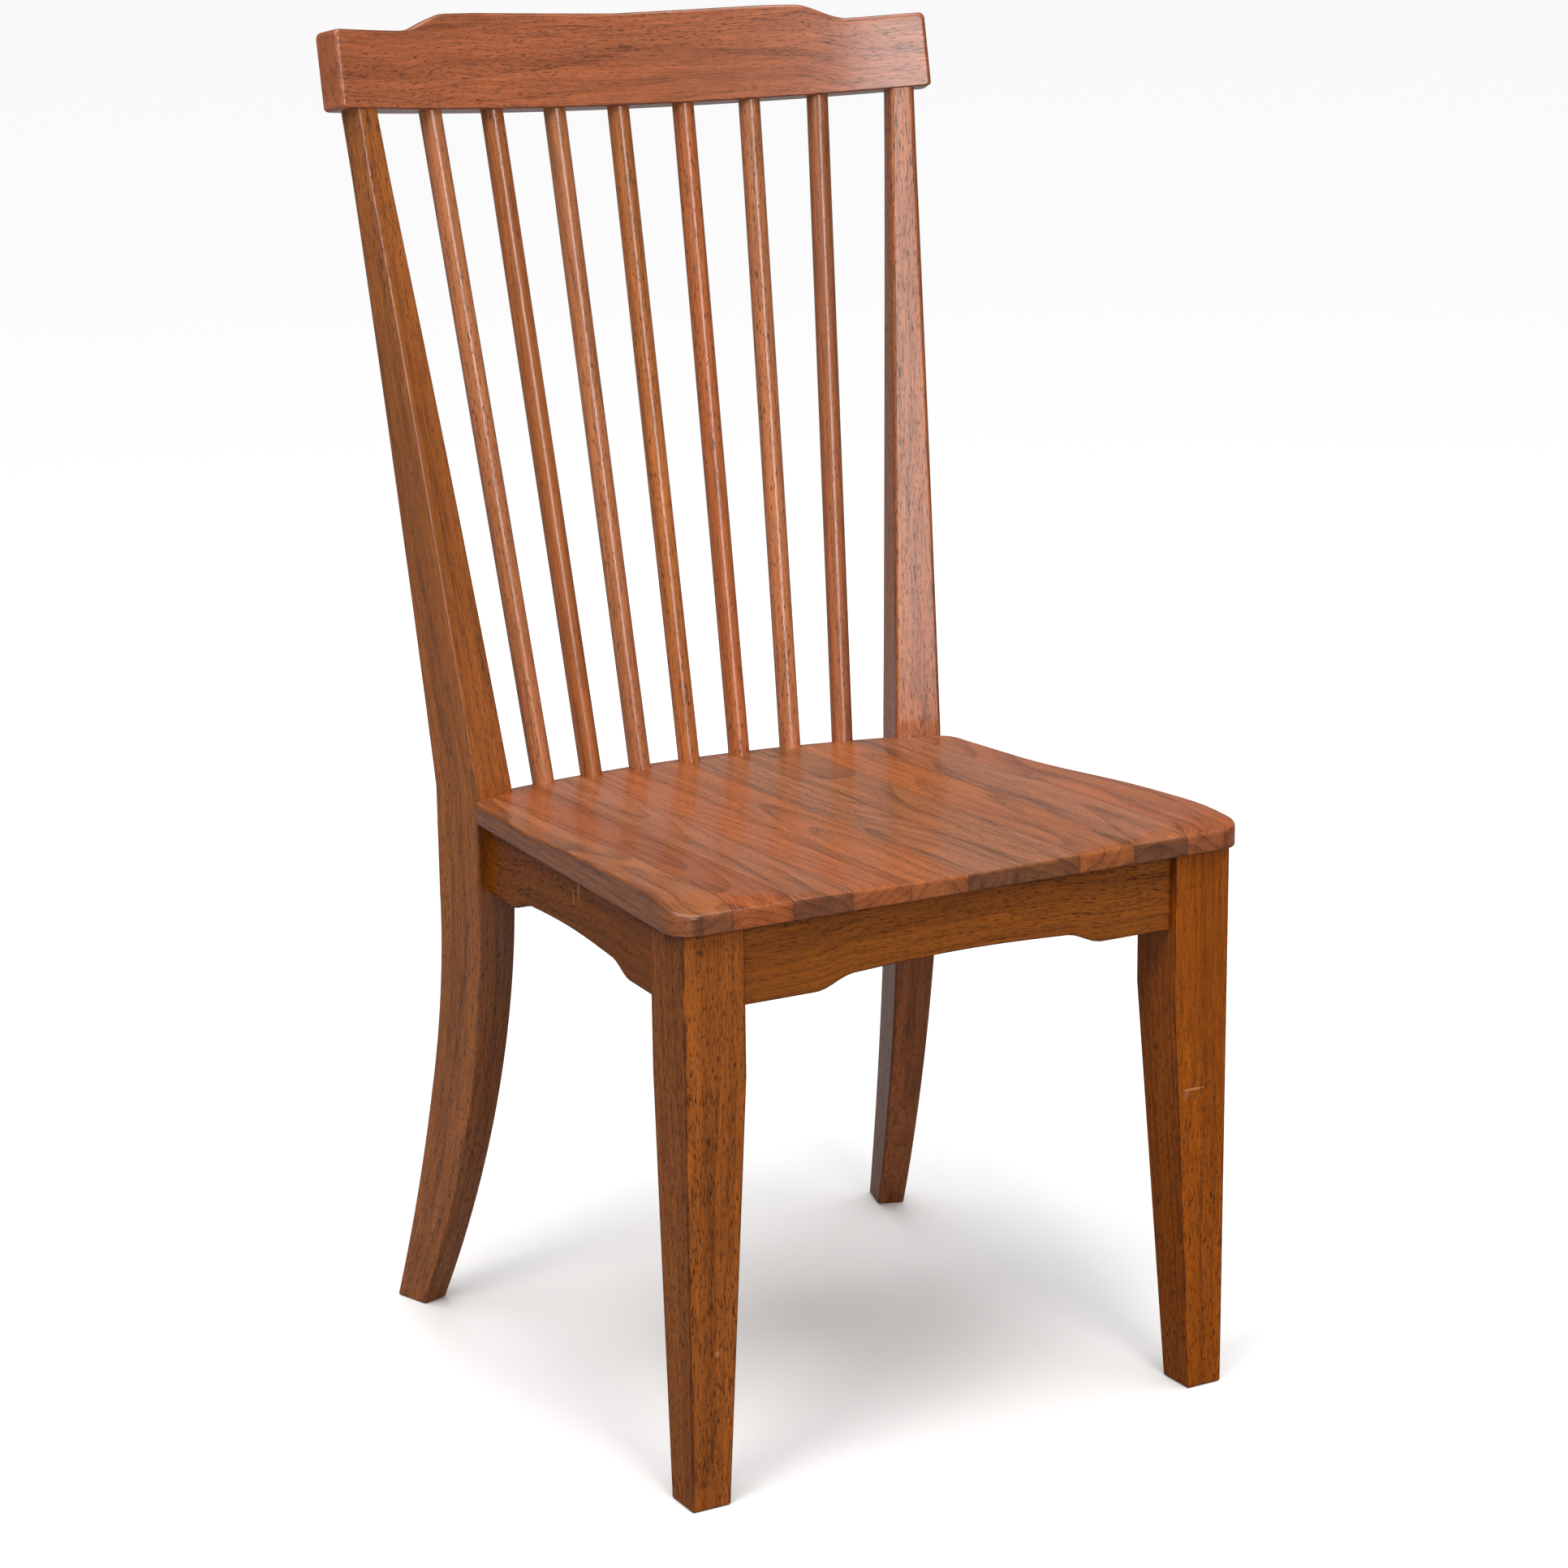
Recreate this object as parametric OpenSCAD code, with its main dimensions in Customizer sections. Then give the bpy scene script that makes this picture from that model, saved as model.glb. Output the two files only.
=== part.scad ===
// Spindle-back dining side chair in solid wood, built from separate pieces.
// Millimetres. +X is to the right of somebody facing the chair, +Y is towards
// its back, +Z is up. The origin is on the floor under the middle of the chair.

/* [Seat] */
// Height of the seat's underside, which is the top of the legs and aprons
seat_base = 436; // [380:1:500]
// Overhang of the seat beyond the outer faces of the front legs
seat_side = 8.5; // [3:0.5:12]
// Overhang of the seat in front of the front legs
seat_nose = 8; // [4:1:14]
// Depth from the front of the legs to the middle of the seat's rear edge
seat_back = 446; // [390:1:510]
// Radius of the front corners in plan
front_corner_r = 20; // [16:1:30]
// Radius of the rear corners in plan
rear_corner_r = 25; // [16:1:30]
// Thickness of the seat board at the raised sides
rim_t = 24; // [20:0.5:28]
// Thickness of the seat at its front edge
front_t = 14; // [12:0.5:18]
// Thickness of the seat in front of the spindles
rear_t = 16; // [14:0.5:19]
// Thickness at the bottom of the dish
dish_t = 13; // [11:0.5:15]
// Distance of the highest point of the sides from the front of the legs
hump_y = 70; // [50:5:90]
// Fall of the rear edge behind the spindle line
rear_fall = 7; // [4:0.5:8]
// Number of boards glued side by side
stave_count = 10; // [8:1:12]
// Width of one board
stave_w = 48.8; // [42:0.2:60]
// Sideways offset of the middle glue joint
stave_shift = -4.5; // [-10:0.5:10]

/* [Front legs] */
// Distance over the outer faces of the front legs
leg_spread = 472; // [430:1:540]
// Width and depth of a front leg at the top
leg_w = 50; // [44:1:54]
// Width of a front leg at the floor
foot_w = 31.5; // [26:0.5:38]
// Depth of a front leg at the floor
foot_d = 33; // [26:0.5:38]
// Distance of the start of the inner taper below the aprons
taper_drop = 50.5; // [30:0.5:120]
// Flat cut on the inner corner for the corner block
corner_cut = 12; // [8:1:16]
// How far that cut runs on below the aprons
cut_drop = 1; // [0:0.5:20]

/* [Back posts] */
// Turn of each post about the vertical, so that it splays outward
post_turn = 17.5; // [12:0.5:22]
// Distance of the post's inner front corner from the middle of the chair
post_x = 178.8; // [165:0.2:200]
// Distance of that corner in front of the middle of the seat's rear edge
post_set = 53.6; // [48:0.2:62]
// Width of the post where the seat meets it
post_w = 39; // [33:0.5:46]
// Depth of the post where the seat meets it
post_d = 49; // [40:0.5:56]
// How far the foot kicks back from the front face
post_kick = 96; // [70:2:110]
// Width of the post at the floor
post_foot_w = 24; // [20:1:30]
// Depth of the post at the floor
post_foot_d = 34.5; // [28:0.5:40]
// Thickness of the post under the crest rail
post_top_w = 22.5; // [20:0.5:23.5]
// Diameter of the round tenon on top of the post
post_tenon_d = 14; // [12:0.5:15]
// Length of that tenon
post_tenon_l = 24; // [16:1:30]

/* [Crest rail] */
// Radius of the front face of the crest rail in plan
crest_r = 768; // [640:1:920]
// Length of the crest rail beyond the axis of each post, across its front
crest_over = 20.6; // [16:0.2:40]
// Thickness of the crest rail
crest_t = 25; // [23.5:0.5:28]
// Height of the crest rail at its middle
crest_h = 75; // [66:1:84]
// Height of the flat ears at its ends
ear_h = 61.5; // [50:0.5:64]
// Extra height of the two rounded shoulders
shoulder_rise = 1.5; // [0:0.25:3]
// Distance from the middle to the end of the shoulder
shoulder_x = 158; // [140:1:170]
// Distance from the middle to the start of the flat ear
ear_x = 204; // [195:1:215]
// Lean of the crest rail from the vertical
crest_lean = 11; // [10:0.5:12]
// Height of the middle of its lower front edge above the seat's underside
back_h = 542; // [450:1:650]
// Distance of that edge behind the middle of the seat's rear edge
back_rake = 74; // [50:1:100]
// Distance of the axis of each post from the middle, where it meets the crest rail
post_top_x = 245.4; // [235:0.2:260]

/* [Spindles] */
// Number of spindles
spindle_count = 7; // [7:2:7]
// Diameter of a spindle
spindle_d = 18; // [16:0.5:20]
// Spacing of the spindles at the seat
spindle_low = 46.5; // [38:0.5:50]
// Spacing of the spindles at the crest rail
spindle_high = 59; // [50:0.5:65]
// Distance of the middle spindle in front of the seat's rear edge, at the seat
spindle_set = 18; // [16:0.5:24]
// Diameter of the tenon at the top of a spindle
spindle_tenon_d = 12; // [10:0.5:13]
// Length of that tenon
spindle_tenon_l = 20; // [14:1:30]
// Depth of the hole in the seat, from the front rim's rear level
spindle_socket = 11; // [9:0.5:12]

/* [Aprons] */
// Height of an apron at its ends
apron_h = 60.5; // [54:0.5:66]
// Thickness of an apron
apron_t = 20; // [18:0.5:22]
// How far an apron stands back from the outer faces of the legs
apron_reveal = 7; // [5:0.5:9]
// Distance of a side apron's outer face from the outer corner of the post
apron_set = 9; // [5:0.5:12]
// Rise of the scalloped lower edge
scallop = 9.5; // [4:0.5:14]
// Extra rise of the shallow arch in the middle
arch_rise = 3; // [0:0.2:5]
// Length of the flat beside each leg
flat_l = 62; // [45:1:70]
// Length of the curved step after the flat
step_l = 32; // [24:1:50]
// Distance of the rear apron's front face behind the post's inner front corner
rear_apron_set = 6.6; // [4:0.2:12]

/* [Joinery] */
// Diameter of the wooden dowels
dowel_d = 8; // [6:0.5:10]
// Length of a dowel, half in each piece
dowel_l = 32; // [24:1:34]
// Height of the corner blocks
block_h = 34; // [28:1:38]
// Gap between a block and the leg's corner cut
block_gap = 3; // [2:0.5:5]
// Diameter of the hanger bolts
bolt_d = 8; // [6:0.5:8]
// Outer diameter of the washers
washer_d = 20; // [16:1:24]
// Diameter of the thread of the wood screws
screw_d = 4; // [3:0.5:4.5]

/* [Hidden] */
$fn = 64;
half_leg = leg_spread / 2;
half_front = half_leg + seat_side;
apron_z = seat_base - apron_h;
taper_z = apron_z - taper_drop;
corner_cut_z = apron_z - cut_drop;
rim_top = seat_base + rim_t;
rear_top = seat_base + rear_t;
front_top = seat_base + front_t;
dish_z = seat_base + dish_t;
crest_z = seat_base + back_h;
crest_y = seat_back + back_rake;
spindle_y = seat_back - spindle_set;
// The rear edge of the seat is an arc about this centre
seat_arc_r = 760;
seat_arc_y = seat_back - seat_arc_r;
seat_fall_w = 32;
// Inner and outer front corners of the post, where the seat meets it
post_y = seat_back - post_set;
post_fo = [post_x + post_w * cos(post_turn), post_y - post_w * sin(post_turn)];
// Centres of the corner radii; each rear one lets the seat end at the post's outer corner
front_cx = half_front - front_corner_r;
front_cy = front_corner_r - seat_nose;
rear_cx = post_fo[0] - rear_corner_r * 0.7;
rear_cy = post_fo[1] - rear_corner_r * 0.747;
rear_apron_y = post_y + rear_apron_set;
// Block of constant section in each post, between these heights
post_low = apron_z - 9;
post_high = rear_top + 4;
post_run = crest_z - post_high;
// Bow of the upper post, as a share of its lean
post_bow = 0.1;
crest_mid_r = crest_r - crest_t / 2;
// Half of the angle that the crest rail takes in
crest_half = asin((post_top_x + crest_over) / crest_r);
spindle_side = floor(spindle_count / 2);
// Middle of the chair from front to back, so that the origin is under it
crest_back = crest_y + crest_h * sin(crest_lean) + crest_t * cos(crest_lean);
y_mid = (crest_back - seat_nose) / 2;
big = 1600;

// Smooth step from 0 to 1
function ease(t) = let (c = min(1, max(0, t))) c * c * (3 - 2 * c);
function lerp(a, b, t) = a + (b - a) * t;

// ---------- frames ----------

// The whole chair, moved so that the origin is under its middle
module placed() {
  translate([0, -y_mid, 0]) children();
}

// Frame of the right back post: its inner face is local x = 0, its front face local y = 0
module post_frame() {
  translate([post_x, post_y, 0]) rotate([0, 0, -post_turn]) children();
}

// Frame of the crest rail: origin at the middle of its lower front edge
module crest_frame() {
  translate([0, crest_y, crest_z]) rotate([-crest_lean, 0, 0]) children();
}

// The right side apron runs from the front leg to this point on the post's front face
apron_end = [
  post_x + (post_w - apron_set) * cos(post_turn),
  post_y - (post_w - apron_set) * sin(post_turn)
];
side_out_x = half_leg - apron_reveal;
apron_toe = atan2(side_out_x - apron_end[0], apron_end[1] - leg_w);

// Frame of the right side apron: local y along it, its outer face at local x = 0
module apron_frame() {
  translate([side_out_x, leg_w, 0]) rotate([0, 0, apron_toe]) children();
}

// ---------- seat ----------

// Direction of the seat's side edge, tangent to both corner circles
edge_dx = rear_cx - front_cx;
edge_dy = rear_cy - front_cy;
edge_len = sqrt(edge_dx * edge_dx + edge_dy * edge_dy);
edge_n = atan2(edge_dy, edge_dx) - acos((front_corner_r - rear_corner_r) / edge_len);

module seat_half_outline() {
  union() {
    polygon([
      [0, -seat_nose],
      [front_cx, -seat_nose],
      [front_cx + front_corner_r * cos(edge_n), front_cy + front_corner_r * sin(edge_n)],
      [rear_cx + rear_corner_r * cos(edge_n), rear_cy + rear_corner_r * sin(edge_n)],
      [rear_cx, rear_cy + rear_corner_r],
      [rear_cx - 2, seat_back + 10],
      [0, seat_back + 10]
    ]);
    translate([front_cx, front_cy]) circle(r = front_corner_r);
    translate([rear_cx, rear_cy]) circle(r = rear_corner_r);
  }
}

// Depth over which the raised sides fall back to the rear's thickness
rim_run = seat_back - hump_y - 161;
// Height of the raised sides at depth y
function rim_z(y) =
  y < hump_y
    ? lerp(front_top, rim_top, pow(max(0, sin(90 * min(1, (y + seat_nose) / (hump_y + seat_nose)))), 0.62))
    : lerp(rim_top, rear_top, ease((y - hump_y) / rim_run));
rim_steps = [for (i = [0:8]) -seat_nose + (hump_y + seat_nose) * pow(i / 8, 1.5)];
rim_tail = [for (i = [1:14]) hump_y + rim_run * i / 14];

// Side view of the seat, drawn across its whole width
module seat_side_view() {
  translate([-300, 0, 0])
    rotate([90, 0, 90])
      linear_extrude(600)
        polygon(concat(
          [[-seat_nose - 4, seat_base], [-seat_nose - 4, front_top]],
          [for (y = rim_steps) [y, rim_z(y)]],
          [for (y = rim_tail) [y, rim_z(y)]],
          [[seat_back + 12, rear_top], [seat_back + 12, seat_base]]
        ));
}

// Long trough that scoops the dish from the seat, a little deeper towards the back
dish_xs = [for (i = [-46:45]) (i + 0.5) * half_front / 41];
function dish_rise(x) = (rim_t - dish_t) * x * x / (half_front * half_front);
module dish_cut() {
  translate([0, hump_y, dish_z])
    rotate([89.65, 0, 0])
      linear_extrude(1200, center = true)
        polygon(concat(
          [for (x = dish_xs) [x, dish_rise(x)]],
          [[half_front + 34, 80], [-half_front - 34, 80]]
        ));
}

// Ring that drops the seat's top behind the spindle line
module rear_fall_cut() {
  translate([0, seat_arc_y, 0])
    rotate_extrude($fn = 480)
      polygon([
        [seat_arc_r - seat_fall_w, rear_top],
        [seat_arc_r + 6, rear_top - rear_fall * (seat_fall_w + 6) / seat_fall_w],
        [seat_arc_r + 6, rear_top + 20],
        [seat_arc_r - seat_fall_w, rear_top + 20]
      ]);
}

// The corner of the seat is cut away for the post
module post_notch() {
  post_frame()
    translate([0, 0, seat_base - 20])
      cube([200, 200, 80]);
}

module seat_body() {
  difference() {
    intersection() {
      translate([0, 0, seat_base]) linear_extrude(rim_t + 2) {
        intersection() {
          union() {
            seat_half_outline();
            mirror([1, 0]) seat_half_outline();
          }
          translate([0, seat_arc_y]) circle(r = seat_arc_r, $fn = 480);
        }
      }
      seat_side_view();
    }
    dish_cut();
    rear_fall_cut();
    post_notch();
    mirror([1, 0, 0]) post_notch();
    for (i = [-spindle_side:spindle_side]) spindle_hole(i);
    all_seat_screws();
  }
}

// Glue joint on the left of board n; the outer boards run on to the seat's edge
function joint_x(n) =
  n <= 0 ? -300 : n >= stave_count ? 300 : stave_shift + (n - stave_count / 2) * stave_w;

module seat_stave(n) {
  intersection() {
    seat_body();
    translate([joint_x(n - 1), -60, seat_base - 5])
      cube([joint_x(n) - joint_x(n - 1), 600, 60]);
  }
}

// ---------- spindles ----------

// Centre of the foot and of the head of spindle i, counted from the middle
function foot_xy(i) = [i * spindle_low, spindle_y - pow(i * spindle_low, 2) / (2 * seat_arc_r)];
function head_x(i) = i * spindle_high;
function foot_p(i) = [foot_xy(i)[0], foot_xy(i)[1], rear_top - spindle_socket];
function head_p(i) = crest_point(head_x(i));

// Cylinder from point a towards point b, from distance s to distance e
module rod(a, b, r, s, e) {
  d = b - a;
  translate(a)
    rotate([0, acos(d[2] / norm(d)), atan2(d[1], d[0])])
      rotate([0, 0, 37])
        translate([0, 0, s])
          cylinder(r = r, h = e - s);
}

// Point of the crest rail's lower face, midway in its thickness, at distance x
function crest_point(x) = let (
  back = crest_t / 2 - (crest_mid_r + crest_t - sqrt(pow(crest_mid_r + crest_t, 2) - x * x))
) [x, crest_y + back * cos(crest_lean), crest_z - back * sin(crest_lean)];

// Everything above the crest rail's lower face
module above_crest_face() {
  crest_frame() translate([-400, -200, 0]) cube([800, 400, 300]);
}

// Blind hole that a spindle's foot sits in, open upward
module spindle_hole(i) {
  rod(foot_p(i), head_p(i), spindle_d / 2, 0, 40);
}

module spindle_tenon(i) {
  l = norm(head_p(i) - foot_p(i));
  rod(foot_p(i), head_p(i), spindle_tenon_d / 2, l - 6, l + spindle_tenon_l);
}

module spindle_solid(i) {
  l = norm(head_p(i) - foot_p(i));
  union() {
    difference() {
      rod(foot_p(i), head_p(i), spindle_d / 2, 0, l + 10);
      above_crest_face();
    }
    spindle_tenon(i);
  }
}

// ---------- crest rail ----------

// Height of the upper edge at distance x from the middle
function crest_top(x) = let (a = abs(x))
  a < shoulder_x
    ? crest_h + shoulder_rise * sin(90 * min(1, a / 125)) * (a < 125 ? 1 : 1 - ease((a - 125) / 60))
    : lerp(
        crest_h + shoulder_rise * (1 - ease((shoulder_x - 125) / 60)),
        ear_h,
        ease((a - shoulder_x) / (ear_x - shoulder_x)));
// Half the width that the crest rail's outline is drawn to
crest_reach = (crest_r + crest_t) * sin(crest_half) + 12;
crest_xs = [for (i = [-70:70]) i * crest_reach / 70];

module crest_front_view() {
  translate([0, 400, 0])
    rotate([90, 0, 0])
      linear_extrude(800)
        polygon(concat(
          [[-crest_reach - 10, 0]],
          [[-crest_reach - 10, ear_h]],
          [for (x = crest_xs) [x, crest_top(x)]],
          [[crest_reach + 10, ear_h]],
          [[crest_reach + 10, 0]]
        ));
}

// Wedge that trims the arc to length with radial ends
module crest_sector() {
  polygon([
    [0, 0],
    [-2 * crest_r * sin(crest_half), 2 * crest_r * cos(crest_half)],
    [2 * crest_r * sin(crest_half), 2 * crest_r * cos(crest_half)]
  ]);
}

module crest_blank() {
  intersection() {
    translate([0, -crest_r, 0])
      linear_extrude(crest_h + 10)
        intersection() {
          difference() {
            circle(r = crest_r + crest_t, $fn = 360);
            circle(r = crest_r, $fn = 360);
          }
          crest_sector();
        }
    crest_front_view();
  }
}

module crest_rail() {
  color([0.60, 0.33, 0.20])
    placed()
      difference() {
        crest_frame() crest_blank();
        for (i = [-spindle_side:spindle_side]) spindle_tenon(i);
        post_tenon();
        mirror([1, 0, 0]) post_tenon();
      }
}

// ---------- back posts ----------

// Where the axis of the upper post starts and ends, in the post's frame
top_p = crest_point(post_top_x);
post_a = [post_w / 2, post_d / 2, post_high];
post_b = [
  (top_p[0] - post_x) * cos(post_turn) - (top_p[1] - post_y) * sin(post_turn),
  (top_p[0] - post_x) * sin(post_turn) + (top_p[1] - post_y) * cos(post_turn),
  top_p[2]
];
post_axis = post_b - post_a;

// Depth of the post at height z
function post_depth(z) =
  z < post_low ? lerp(post_foot_d, post_d, 1 - pow(1 - min(1, z / (post_low * 0.57)), 1.8))
  : z <= post_high ? post_d
  : lerp(post_d, post_top_w + 0.5, min(1, (z - post_high) / (post_run * 0.91)));
// Front face of the post at height z, in the post's frame
function post_face(z) =
  z < post_low ? post_kick * pow((post_low - z) / post_low, 1.85)
  : z <= post_high ? 0
  : let (u = (z - post_high) / post_axis[2])
    post_a[1] + post_axis[1] * ((1 - post_bow) * u + post_bow * u * u) - post_depth(z) / 2;

low_zs = [for (i = [0:15]) post_low * i / 16];
high_zs = [for (i = [1:24]) post_high + (post_run + 34) * i / 24];
post_zs = concat(low_zs, [post_low, post_high], high_zs);

module post_side_view() {
  n = len(post_zs);
  translate([-200, 0, 0])
    rotate([90, 0, 90])
      linear_extrude(400)
        polygon(concat(
          [for (i = [0:n - 1]) [post_face(post_zs[i]), post_zs[i]]],
          [for (i = [n - 1:-1:0]) [post_face(post_zs[i]) + post_depth(post_zs[i]), post_zs[i]]]
        ));
}

module post_front_view() {
  top = post_high + post_run + 34;
  foot_mid = post_w / 2 - 2.5;
  lean = post_axis[0] / post_axis[2];
  translate([0, 900, 0])
    rotate([90, 0, 0])
      linear_extrude(1800)
        polygon([
          [foot_mid - post_foot_w / 2, 0],
          [0, post_low],
          [0, post_high],
          [post_b[0] - post_top_w / 2, crest_z],
          [post_b[0] - post_top_w / 2 + lean * (top - crest_z), top],
          [post_b[0] + post_top_w / 2 + lean * (top - crest_z), top],
          [post_b[0] + post_top_w / 2, crest_z],
          [post_w, post_high],
          [post_w, post_low],
          [foot_mid + post_foot_w / 2, 0]
        ]);
}

// Cone about the upper post, which rounds off its corners towards the top
module post_round() {
  l = norm(post_axis);
  r_low = sqrt(post_w * post_w + post_d * post_d) / 2 + 1.5;
  r_high = post_top_w / 2 + 2.8;
  translate(post_a)
    rotate([0, acos(post_axis[2] / l), atan2(post_axis[1], post_axis[0])])
      cylinder(r1 = r_low, r2 = r_high - (r_low - r_high) * 0.09, h = l * 1.09);
}

module post_tenon() {
  l = norm(post_axis);
  post_frame() rod(post_a, post_b, post_tenon_d / 2, l - 14, l + post_tenon_l);
}

module post_solid() {
  union() {
    difference() {
      post_frame()
        intersection() {
          post_side_view();
          post_front_view();
          union() {
            translate([-100, -300, -1]) cube([300, 900, post_high + 3]);
            post_round();
          }
        }
      above_crest_face();
    }
    post_tenon();
  }
}

module right_post_shape() {
  difference() {
    post_solid();
    side_apron_dowels();
    rear_apron_dowels();
  }
}

module right_back_post() {
  color([0.50, 0.27, 0.13]) placed() right_post_shape();
}

module left_back_post() {
  color([0.50, 0.27, 0.13]) placed() mirror([1, 0, 0]) right_post_shape();
}

// ---------- front legs ----------

module leg_shape() {
  inner = half_leg - leg_w;
  difference() {
    intersection() {
      translate([0, leg_w + 20, 0])
        rotate([90, 0, 0])
          linear_extrude(leg_w + 40)
            polygon([
              [half_leg, 0],
              [half_leg, seat_base],
              [inner, seat_base],
              [inner, taper_z],
              [half_leg - foot_w, 0]
            ]);
      translate([0, 0, 0])
        rotate([90, 0, 90])
          linear_extrude(half_leg + 40)
            polygon([
              [0, 0],
              [foot_d, 0],
              [leg_w, taper_z],
              [leg_w, seat_base],
              [0, seat_base]
            ]);
    }
    // Flat on the inner corner, with a round run-out at its lower end
    translate([inner, leg_w, 0])
      rotate([0, 0, 45])
        translate([-60, -corner_cut * cos(45), corner_cut_z])
          cube([120, 60, 200]);
    translate([inner, leg_w, 0])
      rotate([0, 0, 45])
        translate([0, -corner_cut * cos(45) + 12, corner_cut_z])
          rotate([0, 90, 0])
            cylinder(r = 12, h = 120, center = true);
    front_apron_dowels();
    side_apron_dowels();
    hanger_bolt();
  }
}

module right_front_leg() {
  color([0.55, 0.31, 0.15]) placed() leg_shape();
}

module left_front_leg() {
  color([0.55, 0.31, 0.15]) placed() mirror([1, 0, 0]) leg_shape();
}

// ---------- aprons ----------

// Lower edge of an apron of length l at distance t from one end
function edge_z(t, l, flat) =
  let (d = min(t, l - t), m = (d - flat - step_l) / max(1, l / 2 - flat - step_l))
    apron_z + scallop * ease((d - flat) / step_l)
    + (d > flat + step_l ? arch_rise * sin(90 * min(1, m)) : 0);

// Board of length l with a scalloped lower edge, from y = 0 to y = apron_t
module apron_board(l, flat, run) {
  translate([0, apron_t, 0])
    rotate([90, 0, 0])
      linear_extrude(apron_t)
        polygon(concat(
          [[-run, seat_base], [-run, apron_z]],
          [for (i = [0:48]) [l * i / 48, edge_z(l * i / 48, l, flat)]],
          [[l + run, apron_z], [l + run, seat_base]]
        ));
}

front_l = leg_spread - 2 * leg_w;
side_l = norm(apron_end - [side_out_x, leg_w]);
rear_flat = flat_l - 10;

module front_apron() {
  color([0.52, 0.28, 0.12])
    placed()
      difference() {
        translate([-front_l / 2, apron_reveal, 0]) apron_board(front_l, flat_l, 0);
        front_apron_dowels();
        mirror([1, 0, 0]) front_apron_dowels();
        front_block_screws();
        mirror([1, 0, 0]) front_block_screws();
      }
}

module side_apron_shape() {
  difference() {
    apron_frame() rotate([0, 0, 90]) apron_board(side_l, flat_l - 8, 24);
    translate([half_leg - leg_w - 10, -50, 0]) cube([leg_w + 40, leg_w + 50, seat_base + 20]);
    post_frame() translate([-60, 0, apron_z - 60]) cube([post_w + 120, 100, 200]);
    side_apron_dowels();
    front_block_screws();
    rear_block_screws();
  }
}

module right_side_apron() {
  color([0.52, 0.28, 0.12]) placed() side_apron_shape();
}

module left_side_apron() {
  color([0.52, 0.28, 0.12]) placed() mirror([1, 0, 0]) side_apron_shape();
}

// Half the clear distance between the inner faces of the posts at depth y
function post_gap(y) = post_x + (y - post_y) * tan(post_turn);
rear_l = 2 * post_gap(rear_apron_y);

module rear_apron() {
  color([0.45, 0.24, 0.11])
    placed()
      difference() {
        translate([-rear_l / 2, rear_apron_y, 0]) apron_board(rear_l, rear_flat, 24);
        post_side_cut();
        mirror([1, 0, 0]) post_side_cut();
        rear_apron_dowels();
        mirror([1, 0, 0]) rear_apron_dowels();
        rear_block_screws();
        mirror([1, 0, 0]) rear_block_screws();
      }
}

// Everything on the outer side of the right post's inner face
module post_side_cut() {
  post_frame() translate([0, -100, apron_z - 60]) cube([200, 300, 200]);
}

// ---------- corner blocks ----------

// Inner faces of the right side apron and of the front apron meet here
side_in_x = side_out_x - apron_t;
front_in_y = apron_reveal + apron_t;
leg_in_x = half_leg - leg_w;
cut_mid = [leg_in_x + corner_cut / 2, leg_w - corner_cut / 2];
// Distance along the diagonal from the leg's flat to the block's outer face
diag = [-cos(45), sin(45)];
block_out = cut_mid + diag * block_gap;
block_deep = 30;
block_z = seat_base - block_h;

module front_block_shape() {
  a = block_out[0] + block_out[1];
  difference() {
    translate([0, 0, block_z])
      linear_extrude(block_h)
        polygon([
          [block_out[0] - (block_out[1] - front_in_y), front_in_y],
          [block_out[0] + 40, block_out[1] + 40],
          [block_out[0] + 40, block_out[1] + 80],
          [block_out[0] - (block_out[1] - front_in_y) - block_deep * 1.414, front_in_y]
        ]);
    apron_frame() translate([-apron_t, -100, apron_z - 60]) cube([100, 700, 200]);
    hanger_bolt_hole();
    front_block_screws();
    front_seat_screw();
  }
}

module front_right_block() {
  color([0.66, 0.48, 0.30]) placed() front_block_shape();
}

module front_left_block() {
  color([0.66, 0.48, 0.30]) placed() mirror([1, 0, 0]) front_block_shape();
}

// The rear block stays clear of the post's inner front corner
rear_out = [post_x - 4, post_y - 4];
rear_reach = rear_apron_y - rear_out[1];
// Where the rear block's outer face meets the side apron
rear_side_x = side_in_x - (rear_out[1] - leg_w) * tan(apron_toe);
rear_side_y = rear_out[1] - (rear_side_x - rear_out[0]);

module rear_block_shape() {
  difference() {
    translate([0, 0, block_z])
      linear_extrude(block_h)
        polygon([
          [rear_out[0] - rear_reach, rear_apron_y],
          [rear_out[0] - rear_reach - block_deep * 1.414, rear_apron_y],
          [rear_out[0] + 40, rear_out[1] - 40 - block_deep * 1.414],
          [rear_out[0] + 40, rear_out[1] - 40]
        ]);
    apron_frame() translate([-apron_t, -100, apron_z - 60]) cube([100, 700, 200]);
    rear_block_screws();
    rear_seat_screw();
  }
}

module rear_right_block() {
  color([0.66, 0.48, 0.30]) placed() rear_block_shape();
}

module rear_left_block() {
  color([0.66, 0.48, 0.30]) placed() mirror([1, 0, 0]) rear_block_shape();
}

// ---------- dowels ----------

// Distance along the side apron's middle line to the post's front face
side_mid = [side_out_x - apron_t / 2 * cos(apron_toe), leg_w - apron_t / 2 * sin(apron_toe)];
side_end = ((post_x - side_mid[0]) * sin(post_turn) + (post_y - side_mid[1]) * cos(post_turn))
  / cos(post_turn + apron_toe);

dowel_zs = [apron_z + 16, seat_base - 16];
// How far a dowel goes into the leg: half its length, or short of the hanger bolt in a thin leg
leg_dowel = min(dowel_l / 2, leg_w - apron_reveal - apron_t / 2 - dowel_d / 2 - bolt_d * 0.71 - 1);

module front_apron_dowels() {
  for (z = dowel_zs)
    translate([leg_in_x - dowel_l / 2, apron_reveal + apron_t / 2, z])
      rotate([0, 90, 0])
        cylinder(d = dowel_d, h = dowel_l / 2 + leg_dowel);
}

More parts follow.
